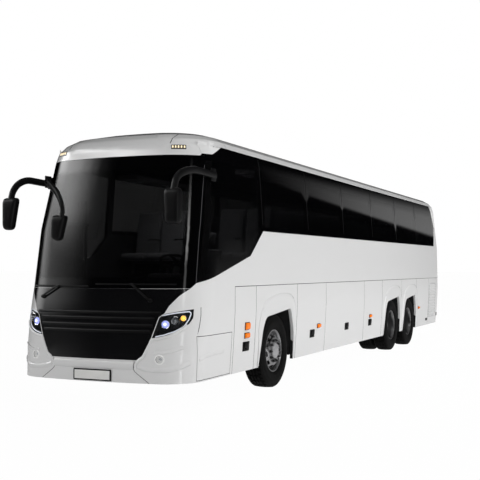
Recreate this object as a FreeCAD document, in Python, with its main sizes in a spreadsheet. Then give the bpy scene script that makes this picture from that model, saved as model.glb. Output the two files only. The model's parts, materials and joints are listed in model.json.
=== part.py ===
import FreeCAD, Part
import Sketcher
import math
import os

from FreeCAD import Vector, Placement, Rotation

# A three-axle touring coach. Millimetres, +Z up, the nose faces -Y, +X is the driver's (left) side.
# The origin is on the ground, mid-way between the mirrors' foremost reach and the tail.
# The passenger doors are on the -X side.

doc = FreeCAD.newDocument("coach")
sheet = doc.addObject("Spreadsheet::Sheet", "sizes")

SIZES = {
    "wall": 50, "pane": 12, "seam": 8, "door_gap": 7,
    "skirt_bottom": 345, "waist": 1465, "deck_top": 1485, "deck_depth": 75,
    "window_low": 2205, "window_top": 3220, "cap_seam": -5350,
    "front_axle": -3850, "drive_axle": 2570, "tag_axle": 4010,
    "tyre_radius": 522, "tyre_width": 290, "track_half": 1080, "twin_spacing": 335,
    "rim_radius": 292, "kingpin_x": 880, "steer_arm": 260,
    "engine_width": 900, "engine_length": 1350, "engine_height": 720,
    "seat_pitch": 830, "seat_rows": 12,
    "steering_wheel_radius": 225, "steering_wheel_rim": 16,
    "mirror_reach": -7050, "mirror_span": 1385,
}
for line, (alias, value) in enumerate(SIZES.items(), 1):
    sheet.set(f"A{line}", alias)
    sheet.set(f"B{line}", str(value))
    sheet.setAlias(f"B{line}", alias)
doc.recompute()


def size(alias):
    return float(sheet.get(alias))


WALL, PANE, SEAM, GAP = size("wall"), size("pane"), size("seam"), size("door_gap")
SKIRT, WAIST, DECK = size("skirt_bottom"), size("waist"), size("deck_top")
AXLES = {"front": size("front_axle"), "drive": size("drive_axle"), "tag": size("tag_axle")}
SIDES = {"left": 1, "right": -1}

# The body's plan outline at each height. lean is the upward part of the surface's normal.
# height, half_width, nose_y, nose_radius, corner_radius, tail_y, tail_radius, lean
HULL_ROWS = [
    (345, 1225, -6650, 6000, 450, 6990, 250, 0.0),
    (700, 1250, -6650, 5500, 500, 7040, 250, 0.0),
    (1150, 1275, -6630, 4500, 600, 7050, 250, 0.0),
    (1465, 1275, -6590, 4000, 650, 7050, 250, 0.0),
    (2210, 1268, -6460, 4000, 650, 7030, 260, 0.0),
    (3090, 1205, -6225, 4000, 650, 6940, 280, 0.1),
    (3215, 1178, -6180, 4000, 650, 6900, 290, 0.4),
    (3305, 1112, -6105, 4000, 640, 6820, 290, 0.75),
    (3375, 1000, -5985, 3800, 600, 6700, 280, 0.95),
    (3450, 749, -5650, 3000, 520, 6400, 270, 0.98),
    (3500, 500, -5250, 2000, 380, 6000, 250, 0.99),
    (3530, 250, -4700, 1000, 200, 5500, 150, 1.0),
]


def plan_wire(row, inset):
    """The closed plan outline of one height: nose arc, corner arcs, straight sides and tail."""
    height, half_width, nose_y, nose_radius, corner_radius, tail_y, tail_radius, lean = row
    level = inset * math.sqrt(1 - lean * lean)
    half_width, nose_y, tail_y = half_width - level, nose_y + level, tail_y - level
    nose_radius, corner_radius, tail_radius = nose_radius - level, corner_radius - level, tail_radius - level
    height -= inset * lean
    nose_centre_y = nose_y + nose_radius
    corner_x, tail_x = half_width - corner_radius, half_width - tail_radius
    corner_y = nose_centre_y - math.sqrt((nose_radius - corner_radius) ** 2 - corner_x ** 2)
    turn = math.atan2(corner_x, nose_centre_y - corner_y)
    touch = Vector(nose_radius * math.sin(turn), nose_centre_y - nose_radius * math.cos(turn), height)
    half_turn = (turn + math.pi / 2) / 2
    corner_mid = Vector(corner_x + corner_radius * math.sin(half_turn),
                        corner_y - corner_radius * math.cos(half_turn), height)
    tail_bulge = tail_radius * math.sqrt(0.5)
    tail_mid = Vector(tail_x + tail_bulge, tail_y - tail_radius + tail_bulge, height)
    corner_end = Vector(half_width, corner_y, height)
    tail_start = Vector(half_width, tail_y - tail_radius, height)
    tail_end = Vector(tail_x, tail_y, height)

    def other(point):
        return Vector(-point.x, point.y, point.z)

    return Part.Wire([
        Part.Arc(other(touch), Vector(0, nose_y, height), touch).toShape(),
        Part.Arc(touch, corner_mid, corner_end).toShape(),
        Part.makeLine(corner_end, tail_start),
        Part.Arc(tail_start, tail_mid, tail_end).toShape(),
        Part.makeLine(tail_end, other(tail_end)),
        Part.Arc(other(tail_end), other(tail_mid), other(tail_start)).toShape(),
        Part.makeLine(other(tail_start), other(corner_end)),
        Part.Arc(other(corner_end), other(corner_mid), other(touch)).toShape(),
    ])


def hull(inset, foot=0):
    """The whole body as one solid, its surface moved inwards by inset and its foot lowered."""
    rows = list(HULL_ROWS)
    if foot:
        rows[0] = (rows[0][0] - foot,) + rows[0][1:]
    return Part.makeLoft([plan_wire(row, inset) for row in rows], True, True)


outside = hull(0)
wall_shell = outside.cut(hull(WALL, 100))
glass_shell = outside.cut(hull(PANE, 100))
frame_shell = hull(PANE + 3).cut(hull(WALL, 100))
lamp_shell = hull(1).cut(hull(110, 100))
cabin = hull(WALL)
bay = hull(WALL + SEAM)


def side_prism(points, side=0, reach=700):
    """A block whose outline (y, z) is seen from the side; side 0 goes right through."""
    ring = Part.makePolygon([Vector(0, y, z) for y, z in points] + [Vector(0, *points[0])])
    block = Part.Face(ring).extrude(Vector(1600 - reach if side else 3200, 0, 0))
    block.translate(Vector({0: -1600, 1: reach, -1: -1600}[side], 0, 0))
    return block


def end_prism(points, from_y, to_y, both=True):
    """A block whose outline (x, z) is seen from the front, with its mirror image."""
    ring = Part.makePolygon([Vector(x, from_y, z) for x, z in points] + [Vector(points[0][0], from_y, points[0][1])])
    block = Part.Face(ring).extrude(Vector(0, to_y - from_y, 0))
    if not both:
        return block
    return Part.makeCompound([block, mirrored(block)])


def mirrored(shape):
    return shape.mirror(Vector(0, 0, 0), Vector(1, 0, 0))


def box(low, high):
    return Part.makeBox(*[b - a for a, b in zip(low, high)], Vector(*low))


def rod(start, end, radius):
    start, end = Vector(*start), Vector(*end)
    return Part.makeCylinder(radius, (end - start).Length, start, end - start)


def solids_of(shape):
    """The shape's solids, joined faces merged, as one solid or one compound."""
    found = sorted(shape.removeSplitter().Solids, key=lambda solid: -solid.Volume)
    kept = [solid for solid in found if solid.Volume > 2000]
    return kept[0] if len(kept) == 1 else Part.makeCompound(kept)


subparts = []


def keep(label, shape):
    """A sub-part whose form neither sketches nor primitives give: a free shape read from the sheet."""
    piece = doc.addObject("Part::Feature", label)
    piece.Label = label
    piece.Shape = solids_of(shape)
    subparts.append(piece)
    return piece


def keep_body(piece, label):
    piece.Label = label
    subparts.append(piece)
    return piece


# Outlines of the face and the glass, seen from the side (y, z) or the front (x, z).
PILLAR_TOP, PILLAR_FOOT = (-5860, 3080), (-6210, 1520)
SWOOSH = [(-6330, 1420), (-6070, 1550), (-4820, 1860), (-4380, 2200)]
MASK_EDGE = [(600, 615), (660, 650), (720, 760), (775, 885), (855, 1120), (915, 1165),
             (955, 1250), (1040, 1360), (1100, 1420), (1135, 1452)]
LAMP = [(783, 878), (862, 1116), (919, 1161), (1260, 1228), (1178, 1100), (1152, 1040),
        (1092, 980), (950, 905), (822, 866)]
ABOVE_LAMP = [(915, 1161), (1290, 1234), (1290, 1500), (915, 1500)]
BUMPER_SEAM, BUMPER_TOP = -6280, 1216
REAR_SEAM, REAR_WALL = 6870, 6800

mask_block = end_prism(MASK_EDGE + [(-x, z) for x, z in reversed(MASK_EDGE)], -7000, -6000, False)
lamp_block = end_prism(LAMP, -7000, -5900)
FOG_LAMP, FOG_RADIUS = (880, 630), 50
fog_holes = Part.makeCompound([rod((x, -7000, FOG_LAMP[1]), (x, -6300, FOG_LAMP[1]), FOG_RADIUS)
                               for x in (FOG_LAMP[0], -FOG_LAMP[0])])
fog_lenses = Part.makeCompound([rod((x, -7000, FOG_LAMP[1]), (x, -6300, FOG_LAMP[1]), FOG_RADIUS - 2)
                                for x in (FOG_LAMP[0], -FOG_LAMP[0])])
above_lamp = end_prism(ABOVE_LAMP, -7000, -5900)
bumper_block = side_prism([(-7200, 300), (BUMPER_SEAM, 300), (BUMPER_SEAM, BUMPER_TOP), (-7200, BUMPER_TOP)])
bumper_block = bumper_block.cut(above_lamp)
cap_block = side_prism([(-7200, 3085), (-5920, 3085), (-5770, 3225), (size("cap_seam") - 2, 3225),
                        (size("cap_seam") - 2, 3700), (-7200, 3700)])
screen_block = side_prism([(-7200, 3082), PILLAR_TOP, PILLAR_FOOT, (-6285, 1455), (-7200, 1455)])

keep("front_cap", wall_shell.common(cap_block))
ROOF_HATCHES = {"front_roof_hatch": -2600, "rear_roof_hatch": 3200}
HATCH_HALF, UPSTAND, LID_LOW = (380, 300), 30, 3546
roof = wall_shell.common(side_prism([(size("cap_seam") + 2, 3225), (7200, 3225), (7200, 3700),
                                     (size("cap_seam") + 2, 3700)]))
for hatch_y in ROOF_HATCHES.values():
    rim = box((40 - HATCH_HALF[0], hatch_y - HATCH_HALF[1] + 40, 3480),
              (HATCH_HALF[0] - 40, hatch_y + HATCH_HALF[1] - 40, LID_LOW - 1))
    hole = box((40 + UPSTAND - HATCH_HALF[0], hatch_y - HATCH_HALF[1] + 40 + UPSTAND, 3300),
               (HATCH_HALF[0] - 40 - UPSTAND, hatch_y + HATCH_HALF[1] - 40 - UPSTAND, 3700))
    roof = roof.fuse(rim).cut(hole)
keep("roof", roof)
keep("windscreen", glass_shell.common(screen_block))
keep("front_mask", wall_shell.common(mask_block).cut(screen_block))
lamps = [lamp_shell.common(lamp_block), lamp_shell.common(fog_lenses)]
keep("headlights", Part.makeCompound([solid for lamp in lamps for solid in lamp.Solids]))
front_bumper = wall_shell.common(bumper_block).cut(mask_block).cut(lamp_block).cut(fog_holes)
lamp_room = outside.cut(hull(116, 100)).common(end_prism([(770, 860), (1300, 860), (1300, 1240), (770, 1240)],
                                                         -7000, -5900))

# Doors and flaps on the flanks: y from, y to, z from, z to.
FLAPS = {
    "left_service_flap": (1, -5320, -4640), "left_luggage_door_1": (1, -3080, -1750),
    "left_luggage_door_2": (1, -1750, 440), "left_luggage_door_3": (1, 440, 1680),
    "right_luggage_door_1": (-1, -3080, -1750), "right_luggage_door_2": (-1, -1750, 440),
}
HATCH = (-6270, -5380, 360, 890)
FRONT_DOOR = (-5900, -5050, 380, 2700)
MIDDLE_DOOR = (620, 1460, 380, 2150)
GRILLE_DOOR = (5820, 6600, 345, 1465)


def panel_block(side, from_y, to_y, from_z, to_z, edge=0.0):
    """A rectangle on one flank, shrunk by edge all round."""
    return side_prism([(from_y + edge, from_z + edge), (to_y - edge, from_z + edge),
                       (to_y - edge, to_z - edge), (from_y + edge, to_z - edge)], side)


def arch_block(side, from_y, to_y, top, reach=700):
    """A wheel arch's opening: a roof that climbs to the rear, leaning sides and unlike shoulders."""
    corners = [(from_y + 110, 900, 300), (from_y + 215, top - 75, 150), (to_y - 210, top + 10, 130),
               (to_y - 60, 800, 300)]
    block = side_prism([(from_y - 5, 200)] + [(y, z) for y, z, _ in corners] + [(to_y, 200)], side, reach)
    for y, z, radius in corners:
        ridge = [edge for edge in block.Edges if all(abs(end.Y - y) < 1 and abs(end.Z - z) < 1 for end in edge.Vertexes)]
        block = block.makeFillet(radius, ridge)
    return block


for label, (side, from_y, to_y) in FLAPS.items():
    keep(label, wall_shell.common(panel_block(side, from_y + SEAM / 2, to_y - SEAM / 2, SKIRT - 10, WAIST - SEAM)))
keep("driver_side_hatch", wall_shell.common(panel_block(1, *HATCH, GAP)))
for name, side in SIDES.items():
    from_y, to_y, from_z, to_z = GRILLE_DOOR
    keep(f"{name}_grille_door", wall_shell.common(
        panel_block(side, from_y + SEAM / 2, to_y - SEAM / 2, from_z - 10, WAIST - SEAM)))

# Fixed skirt panels: y from, y to, arch opening from, to (none where 0), on both flanks.
SKIRT_PANELS = [
    (-4640, -3080, -4490, -3150),
    (1680, 3220, 1860, 3190),
    (3220, 4570, 3400, 4640),
    (4570, 5820, 3400, 4640),
]
ARCH_TOP = 1130
panels = []
for side in SIDES.values():
    for from_y, to_y, arch_from, arch_to in SKIRT_PANELS:
        panel = wall_shell.common(panel_block(side, from_y + SEAM / 2, to_y - SEAM / 2, SKIRT - 10, WAIST - SEAM))
        panels += panel.cut(arch_block(side, arch_from, arch_to, ARCH_TOP)).Solids
    if side < 0:
        for from_y, to_y in [(-5050, -4640), (440, 620), (1460, 1680)]:
            panels += wall_shell.common(
                panel_block(side, from_y + SEAM / 2, to_y - SEAM / 2, SKIRT - 10, WAIST - SEAM)).Solids

door_holes = Part.makeCompound([panel_block(-1, *FRONT_DOOR), panel_block(-1, *MIDDLE_DOOR)])
quarters = []
for side in SIDES.values():
    quarter = wall_shell.common(side_prism(
        [(-7200, SKIRT - 10), (-5324, SKIRT - 10), (-5324, WAIST), (-7200, WAIST)], side, 600))
    quarter = quarter.cut(mask_block).cut(lamp_block).cut(bumper_block).cut(screen_block)
    if side > 0:
        quarter = quarter.cut(panel_block(1, *HATCH))
    else:
        quarter = quarter.cut(door_holes)
    quarters += quarter.Solids
keep("front_quarters", Part.makeCompound(quarters))

# Glass band: the panes' front edges, and the last pane's leaning rear edge.
PANES = [-4380, -2560, -760, 1040, 2840, 4640]
WINDOW_TOP = size("window_top")
REAR_EDGE = [(6440, 2243), (6620, 2700), (6300, WINDOW_TOP)]


def window_low(y):
    return size("window_low") + (y - PANES[0]) / (6440 - PANES[0]) * 38


cab_window = [(-5855, 3086), (-6205, 1524), (-6070, 1556), (-4822, 1866), (-4384, 2206), (-4384, WINDOW_TOP),
              (-5772, WINDOW_TOP), (-5909, 3092)]
pane_outlines = []
for index, start in enumerate(PANES):
    last = index == len(PANES) - 1
    end = 6440 if last else PANES[index + 1]
    low = [(start + 3, window_low(start)), (end - (0 if last else 3), window_low(end))]
    high = REAR_EDGE[1:] if last else [(end - 3, WINDOW_TOP)]
    pane_outlines.append(low + high + [(start + 3, WINDOW_TOP)])
band = [(PANES[0] - 2, 2203), (6442, 2241), (6622, 2700), (6300, WINDOW_TOP + 3), (-5774, WINDOW_TOP + 3),
        (-5916, 3089), (-5861, 3083), (-6212, 1518), (-6070, 1550), (-4820, 1860)]
PILLAR_WIDTH = 110
walls, windows, cab_windows = [], [], []
for side in SIDES.values():
    panes = [glass_shell.common(side_prism(outline, side)) for outline in pane_outlines]
    cab_glass = glass_shell.common(side_prism(cab_window, side, 600))
    outer_wall = wall_shell.common(side_prism(
        [(-6330, WAIST), (REAR_WALL, WAIST), (REAR_WALL, 3223), (-5770, 3223), (-5840, 3140), (-6180, 1570),
         (-6330, 1530)], side, 600))
    outer_wall = outer_wall.cut(side_prism(band, side, 600)).cut(screen_block).cut(mask_block)
    pillars = [frame_shell.common(side_prism([(y - PILLAR_WIDTH / 2, 2000), (y + PILLAR_WIDTH / 2, 2000),
                                              (y + PILLAR_WIDTH / 2, 3223), (y - PILLAR_WIDTH / 2, 3223)], side))
               for y in PANES + [6440]]
    cab_pillar = frame_shell.common(side_prism(
        [(-5835, 3090), (-6180, 1500), (-6090, 1500), (-5745, 3090)], side, 600))
    rail = frame_shell.common(side_prism([(-5800, 3140), (REAR_WALL, 3140), (REAR_WALL, 3223), (-5768, 3223),
                                          (-5800, 3190)], side))
    wall = outer_wall.fuse(pillars + [cab_pillar, rail])
    if side < 0:
        wall = wall.cut(door_holes)
        cab_glass = cab_glass.cut(door_holes)
    walls += wall.Solids
    cab_windows += cab_glass.Solids
    windows += [solid for pane in panes for solid in pane.Solids]
keep("cab_windows", Part.makeCompound(cab_windows))

# The tail: wall with its window, bumper, engine lid and lamps.
REAR_WINDOW = [(930, 2180), (1010, 2300), (960, 2960)]


def ring_both(points, shrink=0):
    """A half outline (x, z) with its mirror image, pulled in by shrink."""
    return [(x - shrink, z) for x, z in points] + [(shrink - x, z) for x, z in reversed(points)]


ENGINE_LID = (-930, 930, 800, 1440)
LAMP_CLUSTER = [(965, 840), (1190, 840), (1190, 1400), (965, 1400)]
tail_block = side_prism([(REAR_SEAM, 300), (7300, 300), (7300, WAIST - 2), (REAR_SEAM, WAIST - 2)])
upper_tail = side_prism([(REAR_WALL + 2, WAIST), (7300, WAIST), (7300, 3223), (REAR_WALL + 2, 3223)])
rear_window_block = end_prism(ring_both(REAR_WINDOW), 6700, 7300, False)
lid_hole = box((ENGINE_LID[0] - GAP, 6600, ENGINE_LID[2] - GAP), (ENGINE_LID[1] + GAP, 7300, ENGINE_LID[3] + GAP))
cluster_block = end_prism(LAMP_CLUSTER, 6700, 7300)
BUMPER_LINE = 640
walls += wall_shell.common(upper_tail).cut(rear_window_block).Solids
windows += glass_shell.common(end_prism(ring_both(REAR_WINDOW, 4), 6700, 7300, False)).Solids
keep("upper_walls", Part.makeCompound(walls))
keep("windows", Part.makeCompound(windows))
lower_tail = wall_shell.common(tail_block).cut(lid_hole).cut(cluster_block)
line_block = box((-1400, 6700, 300), (1400, 7300, BUMPER_LINE))
panels += lower_tail.cut(line_block).Solids
keep("bumpers", Part.makeCompound(front_bumper.Solids + lower_tail.common(line_block).Solids))
keep("engine_door", wall_shell.common(box((ENGINE_LID[0], 6600, ENGINE_LID[2]), (ENGINE_LID[1], 7300, ENGINE_LID[3]))))
keep("rear_lamps", wall_shell.common(cluster_block))
for side in SIDES.values():
    panels += wall_shell.common(panel_block(side, 6600, REAR_SEAM - 4, SKIRT - 10, WAIST - SEAM)).Solids
keep("skirt_panels", Part.makeCompound(panels))

# Decks and bulkheads inside the walls.
deck_low, deck_mid = DECK - size("deck_depth"), WAIST - 2
deck = bay.common(box((-1500, -4600, deck_low), (1500, 6780, deck_mid)))
deck = deck.fuse(cabin.common(box((-1500, -4600, deck_mid), (1500, 6780, DECK))))
stairwell = box((-1500, 560, 0), (-560, 1520, 3000))
keep("passenger_deck", deck.cut(stairwell))
CAB_FLOOR, BAY_FLOOR, STEP = 980, 400, 400
cab_floor = bay.common(box((-1500, -6400, CAB_FLOOR - 50), (1500, -4640, CAB_FLOOR)))
doorwell = box((-1500, -6000, 0), (-650, -4960, 3000))
bay_floor = bay.common(box((-1500, -3040, BAY_FLOOR), (1500, 1640, BAY_FLOOR + 40))).cut(stairwell)
keep("lower_floors", Part.makeCompound(cab_floor.cut(doorwell).cut(lamp_room).Solids + bay_floor.Solids))

# Bulkheads across the body, notched over the rails, and a liner over each wheel, its front set forward.
RAIL_X, RAIL_WIDTH, RAIL_LOW, RAIL_HIGH = 385, 70, 640, 800
BULKHEADS = [-4640, -3080, 1640, 4700]
LINER, LINER_INNER, LINER_FOOT, LINER_ROOM = 9, 500, 800, 70
rail_room = [box((x - 4, -7000, RAIL_LOW - 4), (x + RAIL_WIDTH + 4, 7000, RAIL_HIGH + 4))
             for x in (-RAIL_X - RAIL_WIDTH, RAIL_X)]
bulkheads = []
for y in BULKHEADS:
    wall = bay.common(box((-1500, y, BAY_FLOOR), (1500, y + 40, deck_low)))
    bulkheads += wall.cut(Part.makeCompound(rail_room)).Solids
arches = sorted({(arch_from, arch_to) for _, _, arch_from, arch_to in SKIRT_PANELS})
for arch_from, arch_to in arches:
    liner_from = arch_from - LINER_ROOM
    around = arch_block(1, liner_from - LINER, arch_to + LINER, ARCH_TOP + LINER, LINER_INNER)
    within = arch_block(1, liner_from, arch_to, ARCH_TOP, LINER_INNER + LINER)
    foot = box((0, -7000, 0), (2000, 7000, BAY_FLOOR))
    below_wall = box((0, -7000, 0), (LINER_INNER + LINER, 7000, LINER_FOOT))
    liner = bay.common(around).cut(Part.makeCompound([within, foot, below_wall])).Solids[0]
    bulkheads += [liner, mirrored(liner)]
keep("bulkheads", Part.makeCompound(bulkheads))


def stair(from_y, to_y, wall_x, levels, run):
    """Steps inside a passenger door: a block per tread, outermost lowest."""
    blocks = [box((wall_x + run * index, from_y, BAY_FLOOR - 20), (wall_x + run * (index + 1), to_y, level))
              for index, level in enumerate(levels)]
    return blocks[0].fuse(blocks[1:])


keep("door_steps", Part.makeCompound(stair(-5995, -4965, -1150, (420, 700), 240).common(bay).Solids
                                    + stair(565, 1515, -1150, (420, 780, 1130), 190).common(bay).Solids))

# Passenger doors: a leaf carried by swan-neck arms on an upright post, so it swings out without turning.
# door: post end of the opening (its y), the direction from there to the other end, heights of the arms
POST_X, ARM_REACH, POST_INSET, ARM_BOW, PIN = -1135, 400, 80, 125, 12
DOORS = {
    "front_door": (FRONT_DOOR, FRONT_DOOR[1], -1, (950, 2300), 2640),
    "middle_door": (MIDDLE_DOOR, MIDDLE_DOOR[1], -1, (950, 1900), 2090),
}


def bowed_bar(start, end, bow, half_width, low, high):
    """A flat bar on an arc between two points (x, y) that lie along Y, bowed towards +X."""
    half_span = abs(end[1] - start[1]) / 2
    radius = (bow ** 2 + half_span ** 2) / (2 * bow)
    centre = Vector(start[0] + bow - radius, (start[1] + end[1]) / 2, low)
    spread = math.atan2(half_span, start[0] - centre.x)
    arcs = []
    for size_of_arc in (radius - half_width, radius + half_width):
        arcs.append([centre + Vector(math.cos(angle), math.sin(angle), 0) * size_of_arc
                     for angle in (-spread, 0, spread)])
    inner, outer = arcs
    edges = [Part.Arc(*inner).toShape(), Part.makeLine(inner[2], outer[2]), Part.Arc(*reversed(outer)).toShape(),
             Part.makeLine(outer[0], inner[0])]
    return Part.Face(Part.Wire(edges)).extrude(Vector(0, 0, high - low))


for name, (opening, post_edge, way, arm_heights, post_top) in DOORS.items():
    post_y = post_edge + way * POST_INSET
    pin_y = post_y + way * ARM_REACH
    leaf = wall_shell.common(panel_block(-1, *opening, GAP))
    edge_strip = sorted([post_edge, post_edge + way * (GAP + 6)])
    leaf = leaf.cut(panel_block(-1, edge_strip[0], edge_strip[1], 300, 2800))
    arm = rod((POST_X, post_y, 420.5), (POST_X, post_y, post_top), 22)
    for arm_z in arm_heights:
        arm = arm.fuse([bowed_bar((POST_X, post_y), (POST_X, pin_y), ARM_BOW, 16, arm_z - 14, arm_z + 14),
                        rod((POST_X, pin_y, arm_z - 16), (POST_X, pin_y, arm_z + 16), 24),
                        rod((POST_X, pin_y, arm_z + 16), (POST_X, pin_y, arm_z + 60), PIN)])
        bracket = box((-1400, pin_y - 30, arm_z + 17), (POST_X + 30, pin_y + 30, arm_z + 47))
        bracket = bracket.common(hull(WALL - 2)).cut(
            rod((POST_X, pin_y, arm_z), (POST_X, pin_y, arm_z + 90), PIN + 0.08))
        leaf = leaf.fuse(bracket)
    keep(f"{name}_leaf", leaf)
    keep(f"{name}_arm", arm)

# Roof escape hatches: a lid over an upstand, hinged along its front edge.
for label, hatch_y in ROOF_HATCHES.items():
    lid = box((-HATCH_HALF[0], hatch_y - HATCH_HALF[1], LID_LOW), (HATCH_HALF[0], hatch_y + HATCH_HALF[1], LID_LOW + 28))
    keep(label, lid.makeFillet(12, [edge for edge in lid.Edges if edge.BoundBox.ZMin > 3570]))


def bind(piece, **expressions):
    """Ties properties of a primitive to the sheet."""
    for name, expression in expressions.items():
        piece.setExpression(name, expression)


def sketch_on(body, plane, points, bound):
    """A closed outline on one of the body's own planes: each corner dimensioned, some tied to the sheet."""
    sketch = body.newObject("Sketcher::SketchObject", f"{body.Name}_outline")
    sketch.AttachmentSupport = [(origin, "") for origin in body.Origin.OriginFeatures if origin.Role == plane]
    sketch.MapMode = "FlatFace"
    corners = [Vector(*point, 0) for point in points]
    for index, corner in enumerate(corners):
        sketch.addGeometry(Part.LineSegment(corner, corners[(index + 1) % len(corners)]))
    for index in range(len(corners)):
        sketch.addConstraint(Sketcher.Constraint("Coincident", index, 2, (index + 1) % len(corners), 1))
    for index, (across, up) in enumerate(points):
        for kind, value in (("DistanceX", across), ("DistanceY", up)):
            number = sketch.addConstraint(Sketcher.Constraint(kind, -1, 1, index, 1, value))
            if (index, kind) in bound:
                sketch.setExpression(f"Constraints[{number}]", bound[index, kind])
    return sketch


def turned(label, points, bound, centre, turn=0):
    """A body of revolution about its own X axis, from an outline of (across, radius)."""
    body = doc.addObject("PartDesign::Body", label)
    sketch = sketch_on(body, "XY_Plane", points, bound)
    spin = body.newObject("PartDesign::Revolution", f"{label}_spin")
    spin.Profile = sketch
    spin.ReferenceAxis = (sketch, ["H_Axis"])
    spin.Angle = 360
    body.Placement = Placement(Vector(*centre), Rotation(Vector(0, 0, 1), turn))
    return keep_body(body, label)


# Wheels, seen from their own centre plane: across outwards, radius. The bore takes the stub axle.
BORE = 45.08
RIM_SEAT = size("rim_radius")
TYRE = [(-118, RIM_SEAT), (-140, 352), (-145, 420), (-136, 480), (-112, 512), (-60, 522),
        (60, 522), (112, 512), (136, 480), (145, 420), (140, 352), (118, RIM_SEAT)]
TYRE_BOUND = {(0, "DistanceY"): "sizes.rim_radius", (11, "DistanceY"): "sizes.rim_radius",
              (5, "DistanceY"): "sizes.tyre_radius", (6, "DistanceY"): "sizes.tyre_radius",
              (2, "DistanceX"): "-sizes.tyre_width / 2", (9, "DistanceX"): "sizes.tyre_width / 2"}
RIM_BOUND = {(0, "DistanceY"): "sizes.rim_radius", (1, "DistanceY"): "sizes.rim_radius"}
DOMED_RIM = [(-118, RIM_SEAT), (118, RIM_SEAT), (118, 280), (84, 276), (130, 196), (130, 112), (158, 108),
             (168, 70), (168, 0), (60, 0), (60, BORE), (-70, BORE), (-70, 104), (114, 104), (114, 190),
             (70, 264), (-100, 272), (-118, 280)]
DISHED_RIM = [(-118, RIM_SEAT), (118, RIM_SEAT), (118, 280), (-70, 272), (-150, 190), (-150, 112), (-20, 108),
              (-20, 80), (40, 74), (40, 0), (-60, 0), (-60, BORE), (-230, BORE), (-230, 108), (-164, 112),
              (-164, 196), (-92, 276), (-118, 280)]
TWIN_RIM = [(-118, RIM_SEAT), (118, RIM_SEAT), (118, 280), (-70, 272), (-150, 190), (-150, 112), (-20, 108),
            (-20, 80), (40, 74), (40, 0), (-60, 0), (-60, BORE), (-330, BORE), (-330, 108), (-184, 112),
            (-184, 190), (-265, 272), (-453, 280), (-453, RIM_SEAT), (-217, RIM_SEAT), (-217, 282),
            (-248, 276), (-167, 198), (-92, 276), (-118, 280)]
RIMS = {"front": DOMED_RIM, "drive": TWIN_RIM, "tag": DISHED_RIM}
WHEEL_Z, TRACK, TWIN = size("tyre_radius"), size("track_half"), size("twin_spacing")
for name, side in SIDES.items():
    for axle, axle_y in AXLES.items():
        centre, turn = (side * TRACK, axle_y, WHEEL_Z), 0 if side > 0 else 180
        turned(f"{axle}_{name}_rim", RIMS[axle], RIM_BOUND, centre, turn)
        tyre = turned(f"{axle}_{name}_tyre", TYRE, TYRE_BOUND, centre, turn)
        if axle == "drive":
            subparts.remove(tyre)
            tyre.Label = f"outer_{name}_tyre"
            inner = turned(f"inner_{name}_tyre", TYRE, TYRE_BOUND, (side * (TRACK - TWIN), axle_y, WHEEL_Z), turn)
            subparts.remove(inner)
            pair = doc.addObject("Part::Compound", f"drive_{name}_tyres")
            pair.Links = [tyre, inner]
            keep_body(pair, f"drive_{name}_tyres")

# Axles. The front beam drops between its kingpin eyes; the drive axle swells round its gears.
KINGPIN, ARM = size("kingpin_x"), size("steer_arm")
KINGPIN_RADIUS = 28
FRONT_Y = AXLES["front"]
beam_line = [(-KINGPIN, 500), (-700, 500), (-560, 430), (560, 430), (700, 500), (KINGPIN, 500)]
beam_outline = [(x, z - 45) for x, z in beam_line] + [(x, z + 45) for x, z in reversed(beam_line)]
front_axle = end_prism(beam_outline, FRONT_Y - 45, FRONT_Y + 45, False)
for side in SIDES.values():
    front_axle = front_axle.fuse(rod((side * KINGPIN, FRONT_Y, 440), (side * KINGPIN, FRONT_Y, 600), 58))
for side in SIDES.values():
    front_axle = front_axle.cut(rod((side * KINGPIN, FRONT_Y, 300), (side * KINGPIN, FRONT_Y, 700),
                                    KINGPIN_RADIUS + 0.08))
keep("front_axle", front_axle)

STUB = 45
DRIVE_AXLE = [(0, 235), (90, 215), (190, 120), (260, 92), (600, 88), (700, 74), (700, STUB), (1012, STUB), (1012, 0),
              (0, 0)]
TAG_AXLE = [(0, 66), (760, 66), (800, 60), (800, STUB), (1012, STUB), (1012, 0), (0, 0)]
for label, axle, half in [("drive_axle", "drive", DRIVE_AXLE), ("tag_axle", "tag", TAG_AXLE)]:
    outline = half[:-1] + [(-x, radius) for x, radius in reversed(half[1:-1])]
    turned(label, outline, {}, (0, AXLES[axle], WHEEL_Z))

SPINDLE_END = TRACK + 55
for name, side in SIDES.items():
    lugs = [box((KINGPIN - 60, FRONT_Y - 50, low), (KINGPIN + 100, FRONT_Y + 50, high))
            for low, high in ((390, 438), (602, 650))]
    cheek = box((KINGPIN + 66, FRONT_Y - 50, 390), (KINGPIN + 100, FRONT_Y + 50, 650))
    pin = rod((KINGPIN, FRONT_Y, 390), (KINGPIN, FRONT_Y, 650), KINGPIN_RADIUS)
    stub = rod((KINGPIN + 70, FRONT_Y, WHEEL_Z), (SPINDLE_END, FRONT_Y, WHEEL_Z), STUB)
    arm = box((KINGPIN - 28, FRONT_Y, 390), (KINGPIN + 28, FRONT_Y + ARM, 420))
    tip = rod((KINGPIN, FRONT_Y + ARM, 390), (KINGPIN, FRONT_Y + ARM, 420), 28)
    ball_pin = rod((KINGPIN, FRONT_Y + ARM, 420), (KINGPIN, FRONT_Y + ARM, 470), PIN)
    knuckle = lugs[0].fuse([lugs[1], cheek, pin, stub, arm, tip, ball_pin])
    keep(f"{name}_knuckle", knuckle if side > 0 else mirrored(knuckle))
tie_rod = rod((-KINGPIN, FRONT_Y + ARM, 445), (KINGPIN, FRONT_Y + ARM, 445), 16)
for eye_x in (KINGPIN, -KINGPIN):
    tie_rod = tie_rod.fuse(rod((eye_x, FRONT_Y + ARM, 421), (eye_x, FRONT_Y + ARM, 465), 26))
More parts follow.
